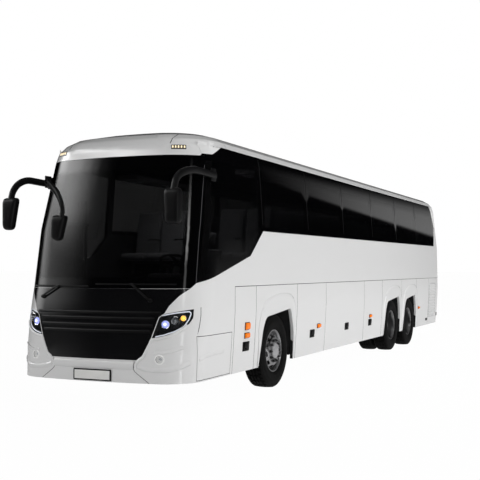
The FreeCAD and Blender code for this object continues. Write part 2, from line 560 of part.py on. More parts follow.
for eye_x, slack in ((KINGPIN, 0.08), (-KINGPIN, 1.0)):
    tie_rod = tie_rod.cut(rod((eye_x, FRONT_Y + ARM, 400), (eye_x, FRONT_Y + ARM, 480), PIN + slack))
keep("tie_rod", tie_rod)

# Underframe: rails over the axles, cross-members, air springs and jacking pads.
RAIL_SPANS = [(-6250, -3080), (1680, 6760)]
frame = []
for from_y, to_y in RAIL_SPANS:
    frame += [box((x, from_y, RAIL_LOW), (x + RAIL_WIDTH, to_y, RAIL_HIGH)) for x in (-RAIL_X - RAIL_WIDTH, RAIL_X)]
for y in (-6150, -4780, -3300, 1900, 3250, 4850, 6600):
    frame.append(box((-RAIL_X, y, RAIL_LOW + 20), (RAIL_X, y + 80, RAIL_HIGH - 20)))
PAD = 60
PADS = [(side * 420, y) for y in (-3300, 4850) for side in (1, -1)]
PAD_LOW = 560
for x, y in PADS:
    frame.append(box((x - PAD, y - PAD, PAD_LOW), (x + PAD, y + PAD, RAIL_LOW)))
keep("chassis_frame", frame[0].fuse(frame[1:]))

engine = doc.addObject("Part::Box", "engine_block")
bind(engine, Length="sizes.engine_width * 0.8", Width="sizes.engine_length", Height="sizes.engine_height")
engine.Placement = Placement(Vector(-360, 5080, 520), Rotation())
keep_body(engine, "engine_block")

# The cab: dashboard, column, steering wheel and the driver's seat.
dash_outline = [(-6500, 1000), (-6500, 1380), (-6250, 1430), (-5960, 1500), (-5860, 1440), (-5900, 1250), (-6080, 1000)]
dashboard = side_prism(dash_outline).common(hull(WALL + 14)).common(box((-600, -7000, 0), (1500, -5000, 3000)))
dashboard = dashboard.cut(lamp_room)
WHEEL_CENTRE, COLUMN_LEAN = Vector(620, -5640, 1760), 27
column_way = Rotation(Vector(1, 0, 0), -COLUMN_LEAN).multVec(Vector(0, 0, -1))
column_top = WHEEL_CENTRE + column_way * 62
column_foot = WHEEL_CENTRE + column_way * 560
dashboard = dashboard.fuse(rod(tuple(column_foot), tuple(column_top), 42))
keep("dashboard", dashboard)

ring = doc.addObject("Part::Torus", "wheel_ring")
bind(ring, Radius1="sizes.steering_wheel_radius", Radius2="sizes.steering_wheel_rim")
boss = doc.addObject("Part::Cylinder", "wheel_boss")
boss.Radius, boss.Height = 60, 70
boss.Placement = Placement(Vector(0, 0, -60), Rotation())
wheel_parts = [ring, boss]
for turn in (0, 180, 270):
    spoke = doc.addObject("Part::Box", f"wheel_spoke_{turn}")
    bind(spoke, Length="sizes.steering_wheel_radius")
    spoke.Width, spoke.Height = 36, 14
    spoke.Placement = Placement(Rotation(Vector(0, 0, 1), turn).multVec(Vector(0, -18, -7)),
                                Rotation(Vector(0, 0, 1), turn))
    wheel_parts.append(spoke)
steering_wheel = doc.addObject("Part::MultiFuse", "steering_wheel")
steering_wheel.Shapes = wheel_parts
steering_wheel.Placement = Placement(WHEEL_CENTRE, Rotation(Vector(1, 0, 0), -COLUMN_LEAN))
keep_body(steering_wheel, "steering_wheel")


def seat_block(from_x, to_x, from_y, floor):
    """A plain seat: pedestal, cushion and reclined back in one outline, facing the nose."""
    outline = [(110, 0), (110, 320), (0, 330), (0, 450), (430, 420), (530, 1110), (620, 1100), (530, 330), (420, 310),
               (420, 0)]
    points = [Vector(from_x, from_y + y, floor + z) for y, z in outline]
    return Part.Face(Part.makePolygon(points + points[:1])).extrude(Vector(to_x - from_x, 0, 0))


keep("driver_seat", seat_block(370, 870, -5330, CAB_FLOOR + 120).fuse(
    box((480, -5230, CAB_FLOOR), (760, -4900, CAB_FLOOR + 120))))
FIRST_ROW, SKIPPED_ROW = -4250, 6
seats = []
for row in range(int(size("seat_rows"))):
    row_y = FIRST_ROW + row * size("seat_pitch")
    seats.append(seat_block(270, 1140, row_y, DECK))
    if row != SKIPPED_ROW:
        seats.append(seat_block(-1140, -270, row_y, DECK))
seats.append(seat_block(-1140, 1140, 6000, DECK))
keep("passenger_seats", Part.makeCompound(seats))
racks = [cabin.common(box((from_x, -4300, 3020), (to_x, 6500, 3090))) for from_x, to_x in ((800, 1500), (-1500, -800))]
keep("luggage_racks", Part.makeCompound([rack.Solids[0] for rack in racks]))

# Mirrors hang from forward arms: each arm's path and width direction, then each head's outline (x, z) and its y.
REACH, SPAN = size("mirror_reach"), size("mirror_span")
ARM_HALF, HEAD_DEPTH = (26, 44), 50
MIRROR_ARMS = [
    ([(1195, -5740, 2850), (1213, -5950, 2850), (1225, -6200, 2855), (1262, -6480, 2842), (1288, -6740, 2795),
     (1290, -6910, 2715), (1287, -6985, 2560)], (1, 0, 0)),
    ([(-1175, -5790, 2830), (-1208, -6000, 2825), (-1225, -6150, 2832), (-1250, -6300, 2834), (-1263, -6450, 2780),
     (-1272, -6550, 2680), (-1270, -6600, 2560)], (1, 0, 0)),
    ([(-1150, -5890, 2840), (-1080, -6080, 2820), (-830, -6340, 2738), (-590, -6550, 2622), (-480, -6625, 2498),
     (-455, -6630, 2400), (-480, -6630, 2300)], (0.74, 0.67, 0)),
]
MIRROR_HEADS = [
    ([(SPAN - 205, 2590), (SPAN, 2590), (SPAN - 8, 2190), (SPAN - 185, 2190)], REACH + HEAD_DEPTH),
    ([(-SPAN, 2590), (-SPAN + 225, 2590), (-SPAN + 150, 2180), (-SPAN + 4, 2180)], -6600),
    ([(-605, 2350), (-396, 2345), (-480, 2030), (-608, 2042)], -6630),
]


def flat_bar(points, across, half_wide, half_tall):
    """A bar with eight sides along a path; across is the direction that its width keeps to."""
    sections = []
    for index, point in enumerate(points):
        before, after = Vector(*points[max(index - 1, 0)]), Vector(*points[min(index + 1, len(points) - 1)])
        along = (after - before).normalize()
        wide = (Vector(*across) - along * along.dot(Vector(*across))).normalize()
        tall = along.cross(wide)
        corners = [Vector(*point) + wide * (half_wide * a) + tall * (half_tall * b)
                   for a, b in ((1, 0.5), (0.5, 1), (-0.5, 1), (-1, 0.5), (-1, -0.5), (-0.5, -1), (0.5, -1), (1, -0.5))]
        sections.append(Part.makePolygon(corners + corners[:1]))
    return Part.makeLoft(sections, True, True)


arms = [flat_bar(path, across, *ARM_HALF) for path, across in MIRROR_ARMS]
heads = []
for outline, head_y in MIRROR_HEADS:
    head = end_prism(outline, head_y - HEAD_DEPTH, head_y + HEAD_DEPTH, False)
    heads.append(head.makeFillet(30, head.Edges))
left_mirror = arms[0].fuse(heads[0]).cut(outside)
right_mirror = arms[1].fuse([arms[2], heads[1], heads[2]]).cut(outside)
keep("mirrors", Part.makeCompound(left_mirror.Solids + right_mirror.Solids))

# Wipers: spindle, arm and a blade that follows the glass. pivot (x, z), blade from, blade to, height
WIPERS = [((-800, 1345), -1000, -90, 1478), ((740, 1312), 10, 1010, 1503)]
on_glass = hull(-40).cut(hull(-14))
wipers = []
for (pivot_x, pivot_z), from_x, to_x, blade_z in WIPERS:
    middle = (from_x + to_x) / 2
    blade = on_glass.common(box((from_x, -7000, blade_z - 11), (to_x, -5700, blade_z + 11)))
    arm = on_glass.common(end_prism([(pivot_x - 16, pivot_z), (pivot_x + 16, pivot_z), (middle + 11, blade_z + 6),
                                     (middle - 11, blade_z + 6)], -7000, -5700, False))
    spindle = rod((pivot_x, -6680, pivot_z), (pivot_x, -6400, pivot_z), 22).common(hull(-44)).cut(hull(0))
    wipers.append(blade.fuse([arm, spindle]))
keep("wipers", Part.makeCompound([solid for wiper in wipers for solid in wiper.Solids]))

doc.recompute()
for piece in doc.Objects:
    if {"Invalid", "Error"} & set(piece.State):
        raise RuntimeError(f"{piece.Label} did not recompute")
os.makedirs("parts", exist_ok=True)
for piece in subparts:
    if piece.Shape.isNull() or not piece.Shape.isValid():
        raise RuntimeError(f"{piece.Label} has no valid shape")
    piece.Shape.exportStep(f"parts/{piece.Label}.step")
    print(piece.Label, len(piece.Shape.Solids), round(piece.Shape.Volume / 1e9, 4))
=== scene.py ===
import json
import math

import bmesh
import bpy
from mathutils import Matrix, Vector
from mathutils.bvhtree import BVHTree

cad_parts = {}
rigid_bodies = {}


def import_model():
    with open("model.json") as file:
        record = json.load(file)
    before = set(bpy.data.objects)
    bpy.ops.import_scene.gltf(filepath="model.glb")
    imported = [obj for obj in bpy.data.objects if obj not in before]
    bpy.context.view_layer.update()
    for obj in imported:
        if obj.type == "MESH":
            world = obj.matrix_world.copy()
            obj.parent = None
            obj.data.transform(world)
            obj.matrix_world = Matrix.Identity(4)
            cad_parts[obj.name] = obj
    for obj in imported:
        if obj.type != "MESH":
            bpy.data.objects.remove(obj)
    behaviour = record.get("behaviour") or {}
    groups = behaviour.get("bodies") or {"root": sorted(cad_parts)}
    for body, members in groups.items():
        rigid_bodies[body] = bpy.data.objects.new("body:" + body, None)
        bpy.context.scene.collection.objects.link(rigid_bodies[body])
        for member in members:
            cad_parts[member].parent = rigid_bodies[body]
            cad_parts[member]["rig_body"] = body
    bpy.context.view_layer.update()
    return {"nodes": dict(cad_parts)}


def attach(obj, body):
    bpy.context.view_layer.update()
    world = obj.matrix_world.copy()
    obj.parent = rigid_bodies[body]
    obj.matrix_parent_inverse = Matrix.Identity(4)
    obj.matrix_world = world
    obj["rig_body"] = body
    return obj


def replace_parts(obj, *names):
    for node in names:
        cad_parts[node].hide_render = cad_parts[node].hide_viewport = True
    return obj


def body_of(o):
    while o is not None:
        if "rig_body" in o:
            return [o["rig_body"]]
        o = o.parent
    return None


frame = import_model()
nodes = frame["nodes"]
upward, rearward, leftward = Vector((0, 0, 1)), Vector((0, 1, 0)), Vector((1, 0, 0))
print("frame loaded:", len(nodes), "nodes")


class Wire:
    # an output of a material's node that can be reckoned with
    def __init__(self, finish, socket):
        self.finish, self.socket = finish, socket

    def __add__(self, other): return self.finish.sum("ADD", self, other)
    def __radd__(self, other): return self.finish.sum("ADD", other, self)
    def __sub__(self, other): return self.finish.sum("SUBTRACT", self, other)
    def __rsub__(self, other): return self.finish.sum("SUBTRACT", other, self)
    def __mul__(self, other): return self.finish.sum("MULTIPLY", self, other)
    def __rmul__(self, other): return self.finish.sum("MULTIPLY", other, self)
    def __truediv__(self, other): return self.finish.sum("DIVIDE", self, other)
    def __gt__(self, other): return self.finish.sum("GREATER_THAN", self, other)


socketNames = {"colour": "Base Color", "coat": "Coat Weight", "coatRoughness": "Coat Roughness", "ior": "IOR",
               "glow": "Emission Strength", "glowColour": "Emission Color", "sheen": "Sheen Weight",
               "sheenRoughness": "Sheen Roughness", "specular": "Specular IOR Level"}


class Finish:
    # one material: constants are written on the shader, what varies over the surface is fed to it
    def __init__(self, name, **constants):
        self.material = bpy.data.materials.new(name)
        self.material.use_nodes = True
        self.tree = self.material.node_tree
        self.shader = self.tree.nodes["Principled BSDF"]
        for word, value in constants.items():
            self.socket(word).default_value = (*value, 1) if isinstance(value, tuple) else value
        coords = self.tree.nodes.new("ShaderNodeTexCoord")
        self.place = Wire(self, coords.outputs["Object"])
        self.split = None

    def socket(self, word):
        return self.shader.inputs[socketNames.get(word, word.capitalize())]

    def node(self, kind, output=0, settings=None, **sockets):
        made = self.tree.nodes.new(kind)
        for key, value in (settings or {}).items():
            setattr(made, key, value)
        for key, value in sockets.items():
            socket = made.inputs[int(key[1:]) if key[1:].isdigit() else key]
            if isinstance(value, Wire):
                self.tree.links.new(value.socket, socket)
            else:
                socket.default_value = value
        return Wire(self, made.outputs[output])

    def sum(self, operation, first, second=0.0):
        return self.node("ShaderNodeMath", 0, {"operation": operation}, _0=first, _1=second)

    def size(self, value):
        return self.sum("ABSOLUTE", value)

    def axis(self, letter):
        if self.split is None:
            self.split = self.tree.nodes.new("ShaderNodeSeparateXYZ")
            self.tree.links.new(self.place.socket, self.split.inputs[0])
        return Wire(self, self.split.outputs["XYZ".index(letter)])

    def noise(self, scale, detail=3.0, stretch=None):
        where = self.node("ShaderNodeMapping", Vector=self.place, Scale=stretch) if stretch else self.place
        return self.node("ShaderNodeTexNoise", Vector=where, Scale=scale, Detail=detail)

    def wave(self, direction, scale, distortion=0.0):
        return self.node("ShaderNodeTexWave", 1, {"wave_type": "BANDS", "bands_direction": direction},
                         Vector=self.place, Scale=scale, Distortion=distortion)

    def smooth(self, value, low, high):
        return self.node("ShaderNodeMapRange", 0, {"interpolation_type": "SMOOTHSTEP"}, Value=value,
                         _1=low, _2=high)

    def shades(self, factor, shade, change):
        # the shade, running towards the same shade times a number
        first, second = (*shade, 1), (*(part * change for part in shade), 1)
        return self.node("ShaderNodeMix", 2, {"data_type": "RGBA"}, _0=factor, _6=first, _7=second)

    def feed(self, **values):
        for word, value in values.items():
            self.tree.links.new(value.socket, self.socket(word))

    def bump(self, height, distance):
        self.feed(normal=self.node("ShaderNodeBump", Height=height, Distance=distance))


def paintFinish(name, shade, roughness=0.32):
    paint = Finish(name, coat=1.0, coatRoughness=0.035, ior=1.5)
    mottle = paint.noise(0.9, 2.0)
    dust = paint.smooth(paint.axis("Z"), 0.75, 0.3) * paint.noise(6.0, 4.0)
    paint.feed(colour=paint.shades(mottle * 0.06 + dust * 0.1, shade, 0.86),
               roughness=mottle * 0.08 + (roughness - 0.04) + dust * 0.15)
    paint.bump(paint.noise(110.0, 2.0), 0.0003)
    return paint


def glassFinish(name, tint, alpha, edges=None):
    glass = Finish(name, ior=1.62, specular=0.5, alpha=alpha)
    streaks = glass.noise(2.2, 3.0, (1, 0.35, 1))
    glass.feed(colour=glass.shades(streaks, tint, 1.5), roughness=streaks * 0.02 + 0.015)
    if edges:
        glass.feed(alpha=edges(glass) * (1 - alpha) + alpha)
    return glass


def most(finish, *values):
    top = values[0]
    for value in values[1:]:
        top = finish.sum("MAXIMUM", top, value)
    return top


# printed borders on the glass: each is clear at the first number and black at the second
border = {"screenTop": (2.86, 2.96), "screenFoot": (1.60, 1.55), "screenSide": (1.03, 1.07),
          "pillars": [-4.38, -2.56, -0.76, 1.04, 2.84, 4.64], "pillarSide": (0.075, 0.06), "sill": 2.235,
          "sillRise": 0.0035, "sillSide": (0.05, 0.03), "top": (3.02, 3.05), "end": (6.35, 6.40)}


def screenEdges(glass):
    height, across = glass.axis("Z"), glass.size(glass.axis("X"))
    return most(glass, glass.smooth(height, *border["screenTop"]), glass.smooth(height, *border["screenFoot"]),
                glass.smooth(across, *border["screenSide"]))



def paneBorders(glass):
    # these hide the pillars and the glue behind each pane
    height, along = glass.axis("Z"), glass.axis("Y")
    pillars = [glass.smooth(glass.size(along - edge), *border["pillarSide"]) for edge in border["pillars"]]
    sill = along * border["sillRise"] + border["sill"]
    foot = glass.smooth(height - sill, *border["sillSide"]) * (along > border["pillars"][0])
    return most(glass, glass.smooth(height, *border["top"]), *pillars, foot, glass.smooth(along, *border["end"]))


def glossFinish(name, shade, roughness=0.08):
    gloss = Finish(name, coat=1.0, coatRoughness=0.03, ior=1.5)
    haze = gloss.noise(3.0)
    gloss.feed(colour=gloss.shades(haze, shade, 1.4), roughness=haze * 0.06 + roughness)
    return gloss


def plasticFinish(name, shade, roughness=0.55, grain=420.0, depth=0.0004):
    plastic = Finish(name, ior=1.5, specular=0.22)
    worn = plastic.noise(5.0)
    plastic.feed(colour=plastic.shades(worn, shade, 1.35), roughness=worn * 0.16 + (roughness - 0.08))
    plastic.bump(plastic.noise(grain, 2.0), depth)
    return plastic


def metalFinish(name, shade, metallic=1.0, roughness=0.35, spread=0.12):
    metal = Finish(name, metallic=metallic)
    cloud, scratch = metal.noise(14.0, 4.0), metal.noise(160.0, 2.0, (1, 0.15, 0.15))
    metal.feed(colour=metal.shades(cloud * 0.7, shade, 0.62),
               roughness=cloud * spread + scratch * 0.08 + (roughness - 0.1))
    metal.bump(scratch, 0.0002)
    return metal


def rubberFinish(name):
    rubber = Finish(name, ior=1.45, specular=0.2)
    dust = rubber.noise(7.0, 4.0)
    rubber.feed(colour=rubber.node("ShaderNodeMix", 2, {"data_type": "RGBA"}, _0=dust,
                                   _6=(0.0028, 0.0028, 0.0029, 1), _7=(0.0065, 0.0063, 0.0061, 1)),
                roughness=dust * 0.2 + 0.58)
    rubber.bump(rubber.noise(300.0, 2.0), 0.0005)
    return rubber


def clothFinish(name, shade, thread=520.0):
    cloth = Finish(name, sheen=0.4, sheenRoughness=0.4)
    weave, weft = [cloth.wave(direction, thread, 0.6) for direction in "XZ"]
    fade = cloth.noise(9.0)
    cloth.feed(colour=cloth.shades(fade * 0.6 + weave * 0.2, shade, 1.7), roughness=fade * 0.1 + 0.78)
    cloth.bump(weave * weft, 0.0008)
    return cloth


def lampFinish(name, shade, roughness=0.12, glow=0.0):
    lens = Finish(name, ior=1.5, coat=0.6, coatRoughness=0.03, glow=glow, glowColour=shade)
    ribs = lens.wave("Z", 26.0)
    lens.feed(colour=lens.shades(ribs * 0.35, shade, 0.62), roughness=ribs * 0.06 + roughness)
    lens.bump(ribs, 0.0008)
    return lens


finishes = {
    "body_paint": paintFinish("coachWhite", (0.82, 0.82, 0.82)),
    "black_gloss": glossFinish("pianoBlack", (0.004, 0.004, 0.0045)),
    "tinted_glass": glassFinish("smokedGlass", (0.0012, 0.0012, 0.0014), 0.78, paneBorders),
    "screen_glass": glassFinish("screenGlass", (0.0012, 0.0012, 0.0014), 0.62, screenEdges),
    "lamp_lens": glassFinish("lampCover", (0.07, 0.075, 0.08), 0.10),
    "rear_lens": lampFinish("redLens", (0.42, 0.012, 0.01)),
    "black_plastic": plasticFinish("blackPlastic", (0.0045, 0.0045, 0.0048), 0.36),
    "cabin_floor": plasticFinish("floorVinyl", (0.06, 0.062, 0.068), 0.6, 260.0),
    "cabin_trim": plasticFinish("cabinTrim", (0.13, 0.13, 0.135)),
    "underbody": plasticFinish("underseal", (0.02, 0.02, 0.021), 0.7, 90.0, 0.0015),
    "door_gear": metalFinish("doorGear", (0.08, 0.08, 0.085), 0.6, 0.42),
    "rubber_tyre": rubberFinish("tyreRubber"),
    "bright_rim": metalFinish("brightRim", (0.62, 0.62, 0.63), 1.0, 0.34),
    "dark_rim": metalFinish("darkRim", (0.40, 0.40, 0.405), 1.0, 0.36),
    "axle_iron": metalFinish("axleIron", (0.035, 0.035, 0.037), 0.4, 0.6),
    "engine_iron": metalFinish("engineIron", (0.10, 0.10, 0.10), 0.7, 0.55),
    "seat_cloth": clothFinish("seatCloth", (0.085, 0.086, 0.090)),
    "grip_plastic": plasticFinish("gripPlastic", (0.02, 0.02, 0.02), 0.5, 600.0),
    "lampBowl": metalFinish("lampBowl", (0.055, 0.057, 0.062), 0.9, 0.3),
    "hubCap": metalFinish("hubCap", (0.66, 0.66, 0.67), 0.55, 0.36),
    "hubIron": metalFinish("hubIron", (0.30, 0.30, 0.30), 0.6, 0.38),
    "nutSteel": metalFinish("nutSteel", (0.16, 0.16, 0.165), 0.85, 0.3),
    "chrome": metalFinish("brightChrome", (0.75, 0.76, 0.78), 1.0, 0.12, 0.05),
    "amberLens": lampFinish("amberLens", (0.90, 0.20, 0.0), 0.2, 0.36),
    "amberGlow": lampFinish("amberGlow", (1.0, 0.50, 0.08), 0.15, 2.2),
    "clearLens": lampFinish("clearLens", (0.62, 0.66, 0.70), 0.1),
    "whiteLight": lampFinish("whiteLight", (0.72, 0.76, 0.84), 0.2, 0.42),
    # projector lenses: their blue glow is a painted highlight
    "blueLens": lampFinish("blueLens", (0.40, 0.45, 0.95), 0.06, 0.8),
    "hotWhite": lampFinish("hotWhite", (0.93, 0.95, 1.0), 0.1, 1.6),
    "mirrorGlass": metalFinish("mirrorGlass", (0.72, 0.74, 0.77), 1.0, 0.11, 0.02),
    "sealRubber": rubberFinish("sealRubber"),
    "plateWhite": glossFinish("plateWhite", (0.74, 0.74, 0.72), 0.3),
    "seamShade": plasticFinish("seamShade", (0.03, 0.03, 0.031), 0.7),
    "lockBlack": plasticFinish("lockBlack", (0.003, 0.003, 0.0032), 0.5),
    "slatBlack": plasticFinish("slatBlack", (0.003, 0.003, 0.0032), 0.42),
    "pillarSeam": plasticFinish("pillarSeam", (0.045, 0.045, 0.047), 0.6),
    "grilleGrey": plasticFinish("grilleGrey", (0.42, 0.42, 0.425), 0.5),
    # the fog lamps' reflectors and their rims: the faint glow is painted light that brightens them
    "fogWhite": lampFinish("fogWhite", (0.80, 0.80, 0.79), 0.2, 0.22),
    "capLight": lampFinish("capLight", (0.95, 0.80, 0.52), 0.2, 0.75),
    "smokedTrim": glossFinish("smokedTrim", (0.012, 0.012, 0.013), 0.12),
}
print("finishes made:", len(finishes))


def addPiece(mesh, name, finish, body, sharpAngle=35.0):
    piece = bpy.data.objects.new(name, mesh)
    bpy.context.scene.collection.objects.link(piece)
    mesh.materials.clear()
    mesh.materials.append(finishes[finish].material)
    mesh.shade_smooth()
    mesh.set_sharp_from_angle(angle=math.radians(sharpAngle))
    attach(piece, body)
    return piece


def addForm(form, name, finish, slotName, body="coach", sharpAngle=35.0):
    bmesh.ops.recalc_face_normals(form, faces=form.faces)
    return addPiece(meshOf(form, name), name, finish, body, sharpAngle)


def meshOf(form, name):
    mesh = bpy.data.meshes.new(name)
    form.to_mesh(mesh)
    form.free()
    return mesh


def joinForms(forms):
    # several parts of one piece
    whole = bmesh.new()
    for part in forms:
        mesh = meshOf(part, "part")
        whole.from_mesh(mesh)
        bpy.data.meshes.remove(mesh)
    return whole


def addForms(forms, *words, **settings):
    return addForm(joinForms(forms), *words, **settings)


def smoothSkin(node, slotName, sharpAngle=24.0):
    # the node's own triangles, joined up so that light runs smoothly over them
    form = bmesh.new()
    form.from_mesh(nodes[node].data)
    bmesh.ops.remove_doubles(form, verts=form.verts, dist=0.00002)
    name = node + "Skin"
    skin = addPiece(meshOf(form, name), name, slotName, body_of(nodes[node])[0], sharpAngle)
    if "glass" not in slotName:
        even = skin.modifiers.new("evenLight", "WEIGHTED_NORMAL")
        even.keep_sharp, even.weight = True, 80
    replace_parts(skin, node)
    return skin


pane = {"front": -4.30, "rear": 6.30, "foot": 2.32, "head": 3.12, "ray": 0.3317, "step": (-0.0501, 0.0499)}


def evenPanes(skin):
    # the flank panes share one run of light: outward faces lean only with their height
    mesh, leans = skin.data, {}

    def lean(height):
        mark = round(height, 3)
        if mark not in leans:
            base = min(pane["head"], max(pane["foot"], mark))
            low, high = (fromSide(1, pane["ray"], base + step)[0] for step in pane["step"])
            leans[mark] = Vector((high.z - low.z, 0, low.x - high.x)).normalized()
        return leans[mark]

    normals = [Vector(corner.vector) for corner in mesh.corner_normals]
    for face in mesh.polygons:
        outward = face.normal.x * face.center.x > 0 and abs(face.normal.x) > 0.8
        if outward and pane["front"] < face.center.y < pane["rear"]:
            for corner in face.loop_indices:
                turned = lean(mesh.vertices[mesh.loops[corner].vertex_index].co.z)
                normals[corner] = Vector((math.copysign(turned.x, face.center.x), 0, turned.z))
    mesh.normals_split_custom_set(normals)


def lathe(profile, steps, closed=False):
    # an outline of (across, radius) spun round the X axis
    form = bmesh.new()
    corners = [form.verts.new((across, 0, radius)) for across, radius in profile]
    lines = [form.edges.new(pair) for pair in zip(corners, corners[1:])]
    if closed:
        lines.append(form.edges.new((corners[-1], corners[0])))
    bmesh.ops.spin(form, geom=corners + lines, cent=(0, 0, 0), axis=(1, 0, 0), angle=math.tau, steps=steps,
                   use_merge=True)
    bmesh.ops.remove_doubles(form, verts=form.verts, dist=0.0001)
    return form


def turnForm(form, turn, letter):
    bmesh.ops.rotate(form, verts=form.verts, cent=(0, 0, 0), matrix=Matrix.Rotation(turn, 3, letter))


def moveForm(form, way):
    bmesh.ops.translate(form, verts=form.verts, vec=way)
    return form


def arc(start, corner, end, steps):
    return [start.lerp(corner, step / steps).lerp(corner.lerp(end, step / steps), step / steps)
            for step in range(steps + 1)]


def rounded(corners, radius, steps=5):
    # a closed outline with its corners turned into arcs
    points = []
    for index, corner in enumerate(corners):
        corner = Vector(corner)
        back, ahead = Vector(corners[index - 1]) - corner, Vector(corners[(index + 1) % len(corners)]) - corner
        cut = min(radius, back.length * 0.48, ahead.length * 0.48)
        points += arc(corner + back.normalized() * cut, corner, corner + ahead.normalized() * cut, steps)
    return points


def framed(start, end, low, high, radius, steps=5):
    return rounded([(start, low), (end, low), (end, high), (start, high)], radius, steps)


def evenly(points, step):
    # the same line with points at an even pitch
    points = [Vector(point) for point in points]
    spans = [(two - one).length for one, two in zip(points, points[1:])]
    count = max(2, int(sum(spans) / step))
    found = [points[0]]
    for number in range(1, count):
        left = sum(spans) * number / count
        index = 0
        while left > spans[index]:
            left -= spans[index]
            index += 1
        found.append(points[index].lerp(points[index + 1], left / spans[index]))
    return found + [points[-1]]


def curved(points, steps=4):
    # a smooth line through the points
    points = [Vector(point) for point in points]
    line = []
    for index, (one, two) in enumerate(zip(points, points[1:])):
        before = points[index - 1] if index else one * 2 - two
        after = points[index + 2] if index + 2 < len(points) else two * 2 - one
        for step in range(steps):
            part = step / steps
            bend = (before * 2 - one * 5 + two * 4 - after) * part ** 2
            line.append(0.5 * ((two - before) * part + one * 2 + bend
                               + (one * 3 - before - two * 3 + after) * part ** 3))
    return line + [points[-1]]


def ringForm(rings, closed=False):
    # faces between neighbouring rings of spots, and over both ends of an open run
    form = bmesh.new()
    rings = [[form.verts.new(spot) for spot in ring] for ring in rings]
    for one, two in list(zip(rings, rings[1:])) + ([(rings[-1], rings[0])] if closed else []):
        for index in range(len(one)):
            form.faces.new((one[index - 1], one[index], two[index], two[index - 1]))
    if not closed:
        form.faces.new(rings[0])
        form.faces.new(rings[-1])
    return form


def sweep(path, ups, profile, closed=False):
    # a bar: an outline of (across, up) carried along a path; ups are the ways its top faces
    rings, last = [], len(path) - 1
    for index, (spot, up) in enumerate(zip(path, ups)):
        before = path[index - 1] if index or closed else path[0]
        after = path[0 if index == last else index + 1] if index < last or closed else path[last]
        way = (after - before).normalized()
        up = (up - way * up.dot(way)).normalized()
        side = way.cross(up)
        rings.append([spot + side * across + up * rise for across, rise in profile])
    return ringForm(rings, closed)


def bar(path, up, profile, closed=False):
    # a bar whose top faces one way all along
    path = [Vector(spot) for spot in path]
    return sweep(path, [up] * len(path), profile, closed)


def bead(half, height, depth=0.002):
    # a low strip's outline: flat foot below the surface, round top
    return [(-half, -depth), (-half, height * 0.35), (-half * 0.7, height * 0.85), (0, height),
            (half * 0.7, height * 0.85), (half, height * 0.35), (half, -depth)]


def tube(radius, sides=10):
    return [(math.cos(turn * math.tau / sides) * radius, math.sin(turn * math.tau / sides) * radius)
            for turn in range(sides)]


def softBox(wide, tall, deep, rounding=0.004, segments=2):
    # a block with rounded edges, its foot at the surface
    form = bmesh.new()
    bmesh.ops.create_cube(form, size=1.0)
    bmesh.ops.scale(form, verts=form.verts, vec=(wide, tall, deep))
    bmesh.ops.bevel(form, geom=form.edges[:], offset=min(rounding, deep * 0.45), segments=segments, profile=0.5,
                    affect="EDGES", material=-1)
    return moveForm(form, (0, 0, deep / 2))


def spun(profile, steps=32):
    # a turned shape standing on the surface: an outline of (height, radius) about Z
    form = lathe(profile, steps)
    turnForm(form, -math.pi / 2, "Y")
    return form


def setOn(form, spot, out, up=upward, sink=0.0):
    # stands a shape on a surface: its Z along the surface's direction, its Y towards up
    out = Vector(out).normalized()
    up = (Vector(up) - out * Vector(up).dot(out)).normalized()
    turn = Matrix((up.cross(out), up, out)).transposed()
    bmesh.ops.rotate(form, verts=form.verts, cent=(0, 0, 0), matrix=turn)
    return moveForm(form, Vector(spot) - out * sink)


def boxOn(size, spot, out, up=upward, sink=0.0):
    return setOn(softBox(*size), spot, out, up, sink)


def turnedOn(profile, steps, spot, out, up=upward):
    return setOn(spun(profile, steps), spot, out, up)


shellWords = ("front_cap roof bumpers front_quarters upper_walls skirt_panels front_mask windscreen windows "
              "cab_windows headlights rear_lamps driver_side_hatch engine_door front_roof_hatch "
              "rear_roof_hatch").split()
shellNames = [name for name in nodes if name in shellWords or name.endswith(("_flap", "_leaf"))
              or "_luggage_door_" in name or "_grille_door" in name]
shellSpots, shellFaces, shellOwner = [], [], []
for name in shellNames:
    base, mesh = len(shellSpots), nodes[name].data
    shellSpots += [corner.co for corner in mesh.vertices]
    shellFaces += [[base + index for index in face.vertices] for face in mesh.polygons]
    shellOwner += [name] * len(mesh.polygons)
shell = BVHTree.FromPolygons(shellSpots, shellFaces)


def meet(start, aim):
    # where a ray from outside meets the bodywork: spot, the way the surface faces, and the moving body there
    spot, out, index, _ = shell.ray_cast(Vector(start), Vector(aim))
    return spot, out, body_of(nodes[shellOwner[index]])[0]


def fromSide(way, alongY, height): return meet((way * 3, alongY, height), (-way, 0, 0))
def fromFront(across, height): return meet((across, -9, height), (0, 1, 0))
def fromRear(across, height): return meet((across, 9, height), (0, -1, 0))


def sideLook(way):
    return lambda alongY, height: fromSide(way, alongY, height)


def laid(met, profile, closed=False, lift=0.0):
    # a bar along spots met on the bodywork
    return sweep([spot + out * lift for spot, out, _ in met], [out for _, out, _ in met], profile, closed)


def trimLine(points, look, half, height, closed=False, pitch=0.05):
    # a low strip laid on the bodywork along points given as the rays that find them
    points = evenly(points + (points[:1] if closed else []), pitch)
    if closed:
        points.pop()
    return laid([look(*point) for point in points], bead(half, height), closed)


def ridge(points, look, profile, pitch=0.04):
    return laid([look(*point) for point in evenly(points, pitch)], profile)


outsideCore = ((-0.6, 0.6), (-5.5, 6.3), (0.45, 2.9))


def paintedSkin(name, slotName, hidden):
    # outer faces take the finish; cut edges and inner faces take a dark one
    skin = smoothSkin(name, slotName)
    skin.data.materials.append(finishes[hidden].material)
    for face in skin.data.polygons:
        core = Vector([min(max(value, low), high) for value, (low, high) in zip(face.center, outsideCore)])
        if face.normal.dot((face.center - core).normalized()) < 0.4:
            face.material_index = 1


for name, node in nodes.items():
    slotName = node.data.materials[0].name.split(".")[0]
    node.data.materials[0] = finishes[slotName].material

